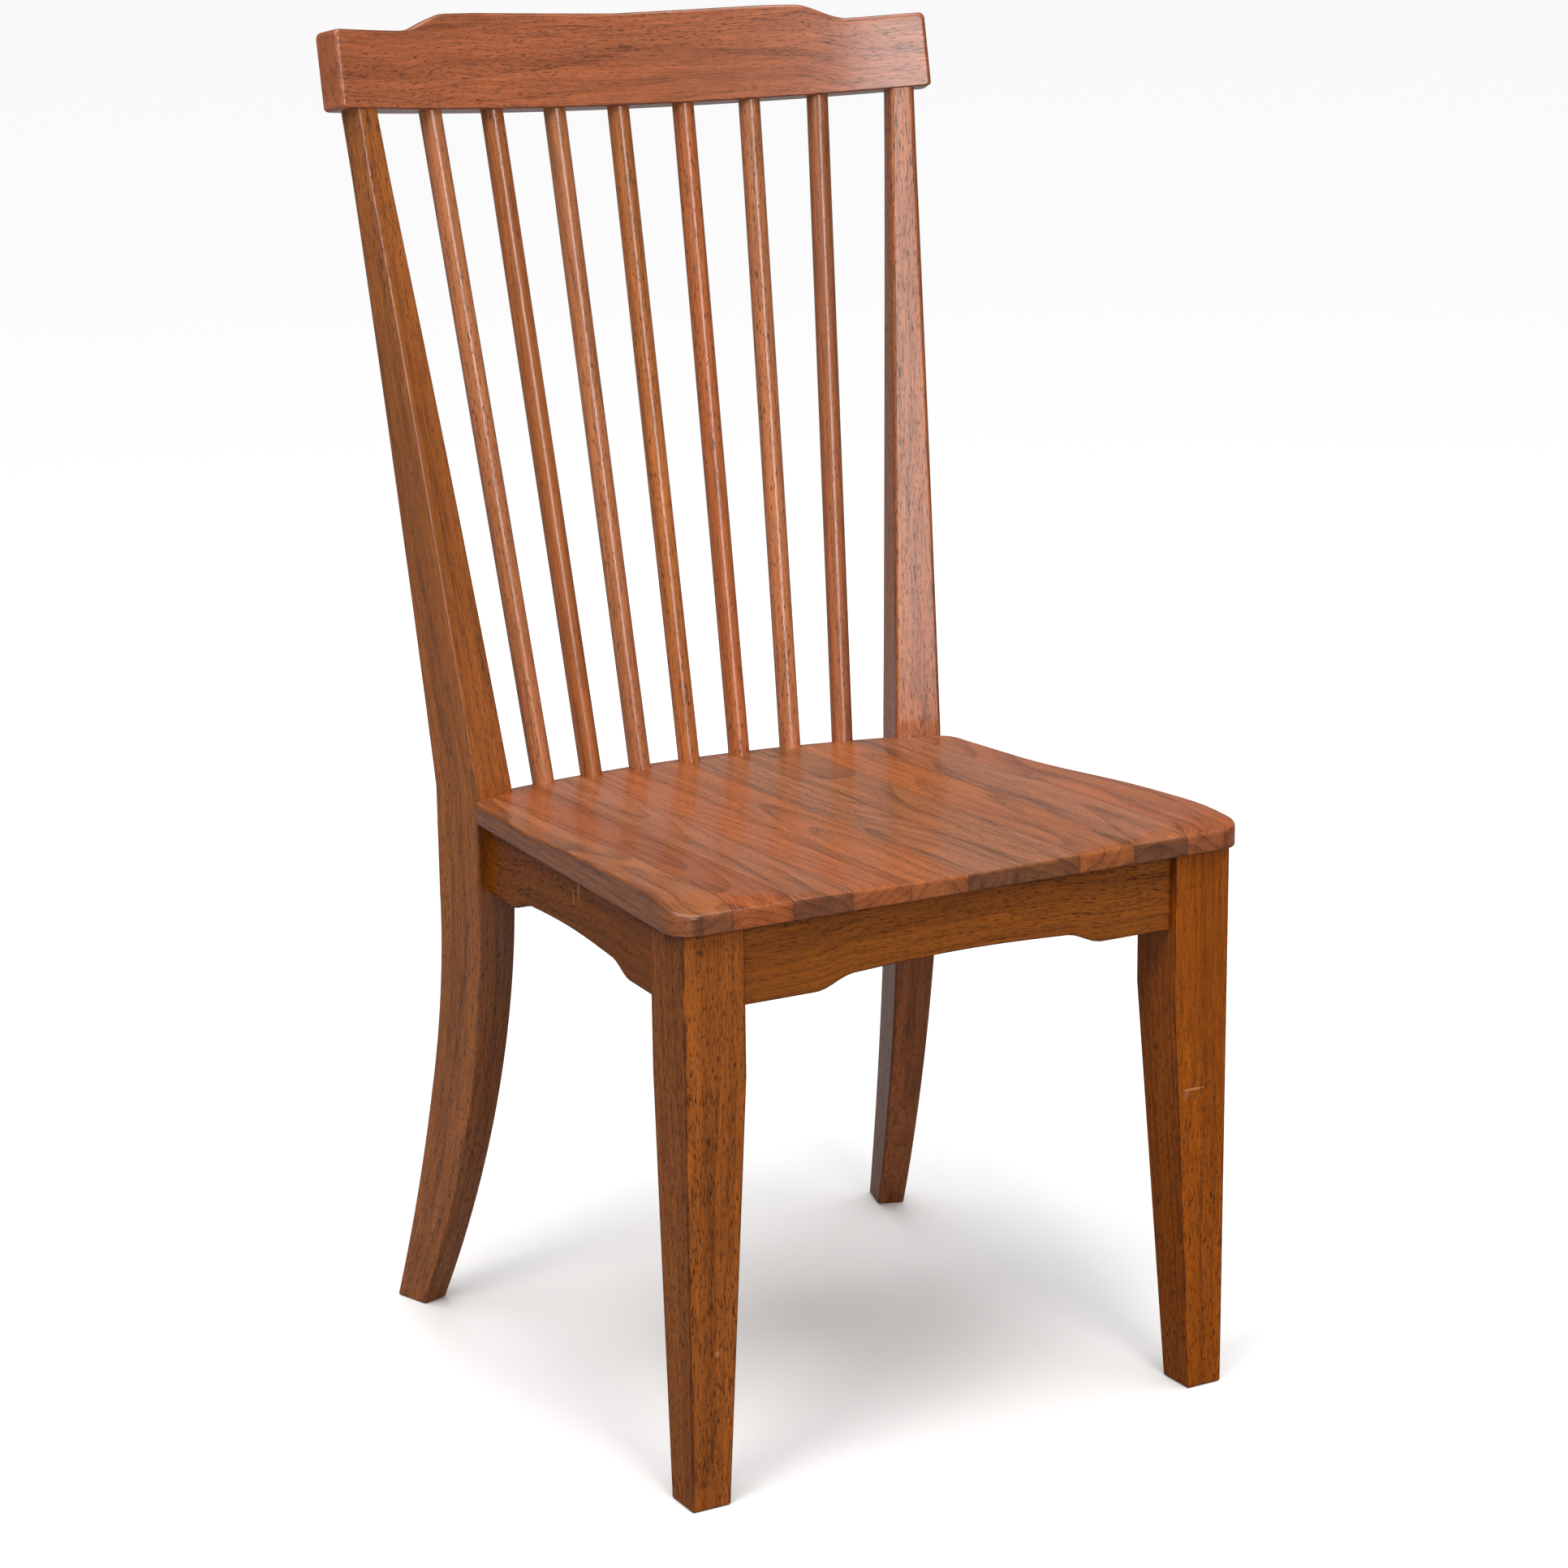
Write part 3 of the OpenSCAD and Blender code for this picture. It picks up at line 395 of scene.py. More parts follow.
class Shapes:
    """The chair's curves, in millimetres, from the sizes in the panel."""

    def __init__(self, scene):
        self.seat, self.back, self.base = scene.chair_seat, scene.chair_back, scene.chair_base
        s, b, g = self.seat, self.back, self.base
        self.z0 = mm(s.base)
        self.back_y = mm(s.back)
        self.arc_r = SEAT_ARC
        self.arc_y = self.back_y - self.arc_r
        self.turn = math.degrees(b.turn)
        self.px, self.py = mm(b.post_x), self.back_y - mm(b.post_set)
        self.pw, self.pd = mm(b.post_w), mm(b.post_d)
        self.apron_z = self.z0 - mm(g.apron_h)
        self.post_low = self.apron_z - BLOCK_BELOW
        self.post_high = self.z0 + mm(s.rear) + BLOCK_ABOVE
        self.rail_z, self.rail_y = self.z0 + mm(b.rail_z), self.back_y + mm(b.rail_y)
        self.rail_r, self.rail_t = mm(b.rail_r), mm(b.rail_t)
        self.lean = math.degrees(b.lean)
        top = self.rail_point(np.array([mm(b.top_x)]))[0]
        dx, dy = top[0] - self.px, top[1] - self.py
        c, n = cosd(self.turn), sind(self.turn)
        self.axis_low = np.array([self.pw / 2, self.pd / 2, self.post_high])
        self.axis_high = np.array([dx * c - dy * n, dx * n + dy * c, top[2]])

    def rail_point(self, x):
        """Point of the crest rail's lower face, midway in its thickness, at distance x from the middle."""
        mid = self.rail_r + self.rail_t / 2
        back = self.rail_t / 2 - (mid - np.sqrt(mid * mid - x * x))
        return np.stack([x, self.rail_y + back * cosd(self.lean), self.rail_z - back * sind(self.lean)], -1)

    def seat_top(self, x, y):
        """Seat's upper face: the lowest of a raised side profile, a parabolic dish and the rear fall."""
        s = self.seat
        half = mm(s.front_half)
        rim, front, rear = (self.z0 + mm(v) for v in (s.rim, s.front, s.rear))
        nose = mm(s.nose)
        rise = np.sin(math.pi / 2 * np.clip((y + nose) / (RIM_PEAK + nose), 0.0, 1.0)) ** RIM_POWER
        behind = y - RIM_PEAK
        side = np.where(behind < 0.0, lerp(front, rim, rise), lerp(rim, rear, ease(behind / RIM_FALL)))
        dish = self.z0 + mm(s.dish) + (mm(s.rim) - mm(s.dish)) * (x / half) ** 2
        top = soft_min(side, dish - behind * math.tan(math.radians(DISH_SLOPE)), SEAT_FILLET)
        fall = rear - LIP_DROP * (np.hypot(x, y - self.arc_y) - self.arc_r + LIP_RUN) / LIP_RUN
        return soft_min(top, fall, SEAT_FILLET)

    def post_depth(self, z):
        """Post's depth: a power curve from the foot to a square block at the seat, then a taper."""
        grown = 1.0 - (1.0 - np.clip(z / (self.post_low * FOOT_REACH), 0, 1)) ** FOOT_POWER
        low = lerp(mm(self.back.foot_d), self.pd, grown)
        run = (self.rail_z - self.post_high) * TAPER_REACH
        high = lerp(self.pd, mm(self.back.top_w) + 0.5, np.clip((z - self.post_high) / run, 0, 1))
        return np.where(z < self.post_low, low, np.where(z <= self.post_high, self.pd, high))

    def post_face(self, z):
        """Post's front face: a power curve kicks the foot back, and the upper part leans and bows."""
        u = np.clip((z - self.post_high) / (self.axis_high[2] - self.post_high), 0, None)
        lean = self.axis_high[1] - self.axis_low[1]
        high = self.axis_low[1] + lean * lerp(u, u * u, BACK_BOW) - self.post_depth(z) / 2
        low = mm(self.back.kick) * np.clip((self.post_low - z) / self.post_low, 0, 1) ** KICK_POWER
        return np.where(z < self.post_low, low, np.where(z <= self.post_high, 0.0, high))

    def apron_edge(self, t, span, flat):
        """Apron's lower edge: flat by each leg, an eased step up, then a shallow sine arch."""
        g = self.base
        d = np.minimum(t, span - t)
        step = mm(g.step)
        m = np.clip((d - flat - step) / max(1.0, span / 2 - flat - step), 0.0, 1.0)
        return self.apron_z + mm(g.scallop) * ease((d - flat) / step) + mm(g.arch) * np.sin(math.pi / 2 * m)

    def rail_top(self, x):
        """Crest rail's upper edge: a level middle that swells at soft shoulders, then eases to flat ears."""
        h, ear = mm(self.back.rail_h), mm(self.back.ear_h)
        a = np.abs(x)
        rise = SWELL * np.sin(math.pi / 2 * np.minimum(1.0, a / SHOULDER))
        swell = h + rise * (1.0 - ease((a - SHOULDER) / SHOULDER_RUN))
        edge = h + SWELL * (1.0 - ease((EAR_START - SHOULDER) / SHOULDER_RUN))
        return np.where(a < EAR_START, swell, lerp(edge, ear, ease((a - EAR_START) / EAR_RUN)))


# ---------- node drawing ----------


def feed(tree, node, feeds):
    """Sets or links a node's inputs, by name or in order."""
    for key, value in feeds.items() if isinstance(feeds, dict) else enumerate(feeds):
        if isinstance(value, bpy.types.NodeSocket):
            tree.links.new(value, node.inputs[key])
        else:
            node.inputs[key].default_value = value


def put(tree, kind, feeds=(), out=0, **settings):
    """Adds a node with its settings and inputs, and returns one output (or the node itself)."""
    node = tree.nodes.new(kind)
    for key, value in settings.items():
        setattr(node, key, value)
    feed(tree, node, feeds)
    return node if out is None else node.outputs[out]


def calc(tree, operation, *values):
    """One sum on numbers."""
    return put(tree, "ShaderNodeMath", values, operation=operation)


def vector(tree, operation, *values, out=0):
    """One sum on vectors; a length comes from output 1."""
    return put(tree, "ShaderNodeVectorMath", values, out, operation=operation)


def split(tree, value):
    """The three parts of a vector."""
    return put(tree, "ShaderNodeSeparateXYZ", (value,), None).outputs


def bump(tree, height, strength, distance):
    """Surface relief from a height, for a shader's Normal."""
    return put(tree, "ShaderNodeBump", {"Strength": strength, "Distance": distance, "Height": height})


def span(tree, value, low, high, to_low=0.0, to_high=1.0):
    """Smooth step of a value from one range to another."""
    feeds = {"Value": value, "From Min": low, "From Max": high, "To Min": to_low, "To Max": to_high}
    return put(tree, "ShaderNodeMapRange", feeds, interpolation_type="SMOOTHSTEP")


def noise(tree, at, stretch, detail=2.0, rough=0.55, out=0):
    """Noise in metres, stretched by one scale per axis."""
    scaled = vector(tree, "MULTIPLY", at, stretch)
    feeds = {"Vector": scaled, "Scale": 1.0, "Detail": detail, "Roughness": rough}
    return put(tree, "ShaderNodeTexNoise", feeds, out)


def mix(tree, factor, a, b):
    """Blends two colours."""
    return put(tree, "ShaderNodeMix", {0: factor, 6: a, 7: b}, 2, data_type="RGBA")


def mix_value(tree, factor, a, b):
    """Blends two numbers."""
    return put(tree, "ShaderNodeMix", {0: factor, 2: a, 3: b}, 0, data_type="FLOAT")


def new_group(name, sockets_in, sockets_out):
    """Empty shader group with named sockets; returns the tree, what comes in, and the node to feed."""
    tree = bpy.data.node_groups.new(name, "ShaderNodeTree")
    kinds = {"vector": "NodeSocketVector", "float": "NodeSocketFloat"}
    for label, kind in sockets_in:
        tree.interface.new_socket(name=label, in_out="INPUT", socket_type=kinds[kind])
    for label, kind in sockets_out:
        tree.interface.new_socket(name=label, in_out="OUTPUT", socket_type=kinds[kind])
    return tree, tree.nodes.new("NodeGroupInput").outputs, tree.nodes.new("NodeGroupOutput")


def use(tree, group, feeds, out=None):
    """Places a group in a tree and sets or links its inputs by name."""
    outputs = put(tree, "ShaderNodeGroup", feeds, None, node_tree=group).outputs
    return outputs if out is None else outputs[out]


# ---------- effects ----------


def figure_group():
    """Growth rings about a pith, drifting along the board, with broad and fine streaks and short pores."""
    tree, i, result = new_group(
        "Wood figure",
        [("Grain", "vector"), ("Ring", "float"), ("Pore Level", "float"), ("Swirl", "float")],
        [("Figure", "float"), ("Fine", "float"), ("Pores", "float"), ("Cloud", "float")],
    )
    drift = noise(tree, i["Grain"], (7.0, 7.0, 1.5), 2.0, 0.5, 1)
    drift = vector(tree, "SUBTRACT", drift, (0.5, 0.5, 0.5))
    drift = vector(tree, "MULTIPLY", drift, (0.05, 0.06, 0.0))
    drift = put(tree, "ShaderNodeVectorMath", {0: drift, "Scale": i["Swirl"]}, operation="SCALE")
    flat = vector(tree, "MULTIPLY", vector(tree, "ADD", i["Grain"], drift), (1.0, 1.0, 0.0))
    radius = vector(tree, "LENGTH", flat, out=1)
    turn = calc(tree, "FRACT", calc(tree, "DIVIDE", radius, i["Ring"]))
    line = calc(tree, "POWER", turn, 2.6)
    line = calc(tree, "MULTIPLY", line, span(tree, turn, 0.94, 1.0, 1.0, 0.0))
    broad = noise(tree, i["Grain"], (75.0, 75.0, 1.7), 3.0, 0.6)
    fine = noise(tree, i["Grain"], (760.0, 760.0, 24.0), 3.0, 0.65)
    pore = noise(tree, i["Grain"], (1250.0, 1250.0, 150.0), 1.0, 0.5)
    cloud = noise(tree, i["Grain"], (9.0, 9.0, 3.0), 2.0, 0.5)
    total = calc(tree, "MULTIPLY", span(tree, broad, 0.3, 0.7), 0.34)
    total = calc(tree, "MULTIPLY_ADD", line, calc(tree, "MULTIPLY", i["Swirl"], 0.20), total)
    total = calc(tree, "MULTIPLY_ADD", span(tree, fine, 0.3, 0.7), 0.50, total)
    level = calc(tree, "MULTIPLY_ADD", line, -0.05, i["Pore Level"])
    deep = span(tree, calc(tree, "SUBTRACT", pore, level), 0.0, 0.07)
    holes = calc(tree, "MULTIPLY", deep, span(tree, cloud, 0.3, 0.6, 0.45, 1.0))
    feed(tree, result, {"Figure": total, "Fine": fine, "Pores": holes, "Cloud": cloud})
    return tree


def arris_group():
    """Closeness to an arris: the middle one of the three distances to a board's faces, roughened by noise."""
    tree, i, result = new_group(
        "Arris",
        [("Place", "vector"), ("Half", "vector"), ("Grain", "vector"), ("Reach", "float")],
        [("Edge", "float")],
    )
    gap = split(tree, vector(tree, "SUBTRACT", i["Half"], vector(tree, "ABSOLUTE", i["Place"])))
    low = calc(tree, "MINIMUM", gap[0], gap[1])
    high = calc(tree, "MAXIMUM", gap[0], gap[1])
    middle = calc(tree, "MAXIMUM", low, calc(tree, "MINIMUM", high, gap[2]))
    rough = noise(tree, i["Grain"], (160.0, 160.0, 40.0), 2.0)
    reach = calc(tree, "MULTIPLY", i["Reach"], span(tree, rough, 0.25, 0.75, 0.35, 1.6))
    near = calc(tree, "DIVIDE", middle, reach)
    feed(tree, result, {"Edge": span(tree, near, 0.0, 1.0, 1.0, 0.0)})
    return tree


def mark_group():
    """Small soft-edged oval mark: one less the distance from its centre, measured in its own half sizes."""
    tree, i, result = new_group(
        "Mark", [("At", "vector"), ("Centre", "vector"), ("Size", "vector")], [("Mask", "float")]
    )
    unit = vector(tree, "DIVIDE", vector(tree, "SUBTRACT", i["At"], i["Centre"]), i["Size"])
    wobble = noise(tree, i["At"], (300.0, 300.0, 300.0), 1.0)
    wobble = calc(tree, "MULTIPLY_ADD", wobble, 0.8, -0.4)
    far = calc(tree, "ADD", vector(tree, "LENGTH", unit, out=1), wobble)
    feed(tree, result, {"Mask": span(tree, far, 0.65, 1.1, 1.0, 0.0)})
    return tree


def metal_wear_group():
    """Fine drawn scratches and cloudy tarnish for plated steel."""
    tree, i, result = new_group(
        "Plating wear", [("At", "vector")], [("Tarnish", "float"), ("Scratch", "float")]
    )
    tarnish = span(tree, noise(tree, i["At"], (140.0, 140.0, 140.0), 3.0), 0.35, 0.7)
    feed(tree, result, {"Tarnish": tarnish, "Scratch": noise(tree, i["At"], (2600.0, 2600.0, 300.0))})
    return tree


def new_material(name):
    """New material, with its tree and its shader."""
    m = bpy.data.materials.new(name)
    m.use_nodes = True
    return m, m.node_tree, m.node_tree.nodes["Principled BSDF"]


def attribute(tree, name):
    """Vector that the mesh holds at each point under this name."""
    return put(tree, "ShaderNodeAttribute", out=1, attribute_name=name)


def shade(rgb, value, warm=1.0):
    """A stain colour made lighter or darker, and warmer by more red and less blue."""
    r, g, b = rgb
    return (min(1.0, r * value * warm), g * value, b * value / warm, 1.0)


def stained_wood(
    name, effects, base, finish, ring, spread, edge, pore, glaze, rough,
    coat=1.0, shine=0.5, ends=0.0, pitch=0.82, swirl=1.1, marks=(),
):
    """Stained and lacquered hardwood: figure sets the tone, dark glaze lies in pores and along edges.

    ring is a growth ring's width in metres, and edge the glaze's reach from an arris in mm. spread is the
    change of tone from board to board, and ends how far end grain has a tone of its own. pore is the level of
    noise that opens a pore, pitch and glaze are how dark pores and arrises get, and swirl bends the rings.
    """
    m, tree, shader = new_material(name)
    grain, place, half, tone = (attribute(tree, k) for k in ("grain", "place", "half", "tone"))
    fig = use(tree, effects["figure"], {"Grain": grain, "Ring": ring, "Pore Level": pore, "Swirl": swirl})
    arris = use(tree, effects["arris"], {"Place": place, "Half": half, "Grain": grain, "Reach": edge}, "Edge")
    ramp = put(tree, "ShaderNodeValToRGB", (fig["Figure"],), None)
    bar = ramp.color_ramp
    bar.elements[0].position, bar.elements[0].color = 0.10, shade(base, 1.36)
    bar.elements[1].position, bar.elements[1].color = 0.92, shade(base, 0.48, 1.02)
    for at, value in ((0.40, 1.06), (0.62, 0.86)):
        bar.elements.new(at).color = shade(base, value)
    dice = split(tree, tone)
    value = span(tree, dice[0], 0.0, 1.0, 1.0 - spread, 1.0 + spread)
    value = calc(tree, "MULTIPLY", value, span(tree, fig["Cloud"], 0.25, 0.75, 0.90, 1.09))
    along, reach = split(tree, place)[2], split(tree, half)[2]
    to_end = calc(tree, "SUBTRACT", reach, calc(tree, "ABSOLUTE", along))
    end = calc(tree, "MULTIPLY", span(tree, to_end, 0.6, 2.0, 1.0, 0.0), ends)
    value = mix_value(tree, end, value, span(tree, dice[2], 0.1, 0.9, 0.55, 1.12))
    hue = calc(tree, "MULTIPLY_ADD", dice[1], 0.008, 0.498)
    rich = calc(tree, "MULTIPLY_ADD", dice[2], 0.08, 0.99)
    feeds = {"Hue": hue, "Saturation": rich, "Value": value, "Color": ramp.outputs[0]}
    wood = put(tree, "ShaderNodeHueSaturation", feeds)
    dark = (*finish.glaze, 1.0)
    wood = mix(tree, calc(tree, "MULTIPLY", fig["Pores"], pitch), wood, dark)
    wood = mix(tree, calc(tree, "MULTIPLY", arris, glaze), wood, dark)
    for centre, size, weight, tint in marks:
        spot = {"At": put(tree, "ShaderNodeTexCoord", out=OBJECT_PLACE), "Centre": centre, "Size": size}
        mask = use(tree, effects["mark"], spot, "Mask")
        wood = mix(tree, calc(tree, "MULTIPLY", mask, weight), wood, (*tint, 1.0))
    sheen = calc(tree, "MULTIPLY_ADD", fig["Fine"], 0.14, rough - 0.06)
    height = calc(tree, "MULTIPLY_ADD", fig["Pores"], -0.8, calc(tree, "MULTIPLY", fig["Fine"], 0.5))
    feed(tree, shader, {
        "Base Color": wood,
        "Roughness": calc(tree, "MULTIPLY_ADD", fig["Pores"], 0.22, sheen),
        "Coat Weight": finish.gloss * coat,
        "Coat Roughness": 0.16,
        "Specular IOR Level": shine,
        "IOR": 1.48,
        "Normal": bump(tree, height, 0.35, 0.0003),
    })
    return m


def raw_wood(name, effects, base, finish, turn):
    """Unstained sawn wood for hidden blocks and dowels, its grain turned to run along the piece."""
    m, tree, shader = new_material(name)
    at = put(tree, "ShaderNodeTexCoord", out=OBJECT_PLACE)
    grain = put(tree, "ShaderNodeMapping", {"Vector": at, "Rotation": turn, "Location": (0.013, 0.031, 3.7)})
    fig = use(tree, effects["figure"], {"Grain": grain, "Ring": 0.006, "Pore Level": 0.62, "Swirl": 1.0})
    wood = mix(tree, fig["Figure"], shade(base, 1.15), shade(base, 0.62, 1.05))
    wood = mix(tree, calc(tree, "MULTIPLY", fig["Pores"], 0.5), wood, (*finish.glaze, 1.0))
    rough = calc(tree, "MULTIPLY_ADD", fig["Fine"], 0.25, 0.5)
    relief = bump(tree, fig["Fine"], 0.5, 0.0004)
    feed(tree, shader, {"Base Color": wood, "Roughness": rough, "Normal": relief})
    return m


def plated_steel(name, effects, bright, dull):
    """Plated steel with cloudy tarnish and fine scratches."""
    m, tree, shader = new_material(name)
    wear = use(tree, effects["metal"], {"At": put(tree, "ShaderNodeTexCoord", out=OBJECT_PLACE)})
    rough = calc(tree, "MULTIPLY_ADD", wear["Tarnish"], 0.22, 0.26)
    feed(tree, shader, {
        "Base Color": mix(tree, wear["Tarnish"], (*bright, 1.0), (*dull, 1.0)),
        "Roughness": calc(tree, "MULTIPLY_ADD", wear["Scratch"], 0.12, rough),
        "Metallic": 1.0,
        "Normal": bump(tree, wear["Scratch"], 0.25, 0.0001),
    })
    return m


def materials(scene):
    """Every finish on the chair, made once and found again by name."""
    f = scene.chair_finish
    if FINISHES:
        return FINISHES
    effects = {
        "figure": figure_group(), "arris": arris_group(), "mark": mark_group(), "metal": metal_wear_group(),
    }
    fill, dark, y0 = tuple(f.filler), tuple(f.glaze), FRONT_Y
    dent = tuple(0.6 * c for c in fill)
    # Each mark: its centre and half sizes in metres, its strength and its colour
    side_marks = (
        ((-0.2225, y0 + 0.196, 0.421), (0.006, 0.0028, 0.010), 0.55, fill),
        ((-0.2215, y0 + 0.206, 0.414), (0.006, 0.0020, 0.008), 0.45, fill),
    )
    leg_marks = (
        ((0.206, y0, 0.247), (0.011, 0.006, 0.0011), 0.65, fill),
        ((0.199, y0, 0.243), (0.003, 0.006, 0.005), 0.35, dent),
        ((-0.214, y0, 0.120), (0.0018, 0.004, 0.0022), 0.5, fill),
    )
    knots = (
        ((0.006, y0 + 0.52, 1.024), (0.008, 0.03, 0.0016), 0.6, dark),
        ((-0.012, y0 + 0.52, 1.030), (0.004, 0.03, 0.0012), 0.45, dark),
    )
    dull = dict(spread=0.05, edge=1.8, pore=0.58, rough=0.42, coat=0.2, shine=0.16)
    stains = {
        "seat": dict(
            ring=0.0085, spread=0.08, edge=1.2, pore=0.62, glaze=0.38, rough=0.36,
            coat=0.7, shine=0.4, ends=1.0, pitch=0.5, swirl=2.0,
        ),
        "rail": dict(
            ring=0.0075, spread=0.05, edge=2.2, pore=0.60, glaze=0.60, rough=0.36, coat=2.0, marks=knots,
        ),
        "spindle": dict(ring=0.0070, spread=0.12, edge=3.0, pore=0.61, glaze=0.00, rough=0.30, coat=1.5),
        "post": dict(ring=0.0080, spread=0.05, edge=2.0, pore=0.59, glaze=0.35, rough=0.36, coat=1.2),
        "leg": dict(dull, ring=0.0080, glaze=0.75, marks=leg_marks),
        "apron": dict(dull, ring=0.0085, glaze=0.80, marks=side_marks),
    }
    for part, look in stains.items():
        FINISHES[part + "_wood"] = stained_wood(part + "_wood_finish", effects, getattr(f, part), f, **look)
    pale = tuple(1.15 * c for c in f.block)
    for part, base, turn in (("block", f.block, math.pi / 4), ("dowel", pale, 0.0)):
        FINISHES[part + "_wood"] = raw_wood(part + "_wood_finish", effects, base, f, (0.0, math.pi / 2, turn))
    for tint, bright, stale in (
        ("zinc", (196, 198, 200), (134, 136, 138)),
        ("yellow", (206, 176, 112), (140, 112, 62)),
    ):
        FINISHES[tint + "_steel"] = plated_steel(tint + "_steel_finish", effects, lin(*bright), lin(*stale))
    return FINISHES


# ---------- pieces ----------


class CHAIR_OT_seat(bpy.types.Operator):
    """Ten seat boards glued side by side, dished, with rounded outer edges"""

    bl_idname = "chair.seat"
    bl_label = "Seat boards"

    def execute(self, context):
        k, looks = Shapes(context.scene), materials(context.scene)
        s = k.seat
        wide, shift, half = mm(s.board), mm(s.shift), mm(s.front_half)
        nose, r1, r2, edge = mm(s.nose), mm(s.front_radius), mm(s.rear_radius), mm(s.edge)
        # Centres of the front and rear corner, and the turn of the straight run between them
        fc = np.array([half - r1, r1 - nose])
        corner = np.array([k.px + k.pw * cosd(k.turn), k.py - k.pw * sind(k.turn)])
        rc = corner - r2 * np.array([0.7, 0.747])
        step = rc - fc
        aim = math.atan2(step[1], step[0]) - math.acos((r1 - r2) / math.hypot(*step))
        joints = [shift + (n - 5) * wide for n in range(11)]
        front_end, rear_end = 0.3, 0.8  # shares of an outer board's side at the ends of its straight run

        def rounding(t, face, on_joint):
            """Inset, inset beside a joint, and drop: a quarter round, tighter below, or a joint's groove."""
            inset, drop = quarter_round(edge if face > 0 else 0.6 * edge, t)
            drop = np.where(on_joint, JOINT_GROOVE * (1.0 - math.sin(t)), drop)
            return inset, np.where(on_joint, edge, inset), drop

        def plank(x, y, drop, face, mid_x, mid_y, half_x, half_y):
            """Points and facts for a plank between the flat underside and the dished top."""
            top = k.seat_top(x, y)
            z = top - drop if face > 0 else k.z0 + drop
            facts = facts_of(x - mid_x, z - (k.z0 + top) / 2, y - mid_y, half_x, (top - k.z0) / 2, half_y)
            return np.stack([x, y, z], 1), facts

        def inner(left, right):
            """Inner plank: x runs joint to joint, y from the straight nose to the rear arc."""
            def at(u, v, t, face):
                _, pull, drop = rounding(t, face, ((u <= 0) | (u >= 1)) & (v > 0) & (v < 1))
                gap = JOINT_GAP * (1 - math.cos(t))
                x = lerp(left + gap, right - gap, u)
                end = k.arc_y + np.sqrt(k.arc_r**2 - x * x)
                y = lerp(-nose + pull, end - pull, v)
                middle = ((left + right) / 2, (end - nose) / 2)
                return plank(x, y, drop, face, *middle, (right - left) / 2, (end + nose) / 2)
            return at

        def outer(left):
            """Outer plank: its free side follows the front radius, a straight run and the rear radius."""
            def at(u, v, t, face):
                inset, pull, drop = rounding(t, face, (u <= 0) & (v > 0) & (v < 1))
                a, b = r1 - pull, r2 - pull
                f = np.clip(v / front_end, 0, 1) * (math.pi / 2 + aim)
                g = aim + np.clip((v - rear_end) / (1.0 - rear_end), 0, 1) * (math.pi / 2 - aim)
                m = np.clip((v - front_end) / (rear_end - front_end), 0, 1)
                early, late = v < front_end, v >= rear_end
                run_x = lerp(fc[0] + a * math.cos(aim), rc[0] + b * math.cos(aim), m)
                run_y = lerp(fc[1] + a * math.sin(aim), rc[1] + b * math.sin(aim), m)
                side = np.where(early, fc[0] + a * np.sin(f), np.where(late, rc[0] + b * np.cos(g), run_x))
                y = np.where(early, fc[1] - a * np.cos(f), np.where(late, rc[1] + b * np.sin(g), run_y))
                x = lerp(left + JOINT_GAP * (1 - math.cos(t)), side, u)
                reach = (side + inset - left) / 2
                depth = rc[1] + r2
                return plank(x, y, drop, face, left + reach, (depth - nose) / 2, reach, (depth + nose) / 2)
            return at

        us = np.linspace(0, 1, 9)
        inner_v = np.concatenate([np.linspace(0.0, 0.2, 15)[:-1], np.linspace(0.2, 1.0, 31)])
        stops = ((0.0, front_end, 13), (front_end, rear_end, 27), (rear_end, 1.0, 11))
        outer_v = np.append(np.concatenate([np.linspace(*stop)[:-1] for stop in stops]), 1.0)
        for n in range(10):
            rng = np.random.default_rng(RNG_SEED + n)
            name = f"seat_board_{n + 1}"
            if n in (0, 9):
                obj = slab(name, outer(-joints[1] if n == 0 else joints[9]), us, outer_v, rng, mirror=n == 0)
            else:
                obj = slab(name, inner(joints[n], joints[n + 1]), us, inner_v, rng)
            settle(obj, "seat_wood", looks["seat_wood"], f"seat_stave_{n + 1}")
        return {"FINISHED"}


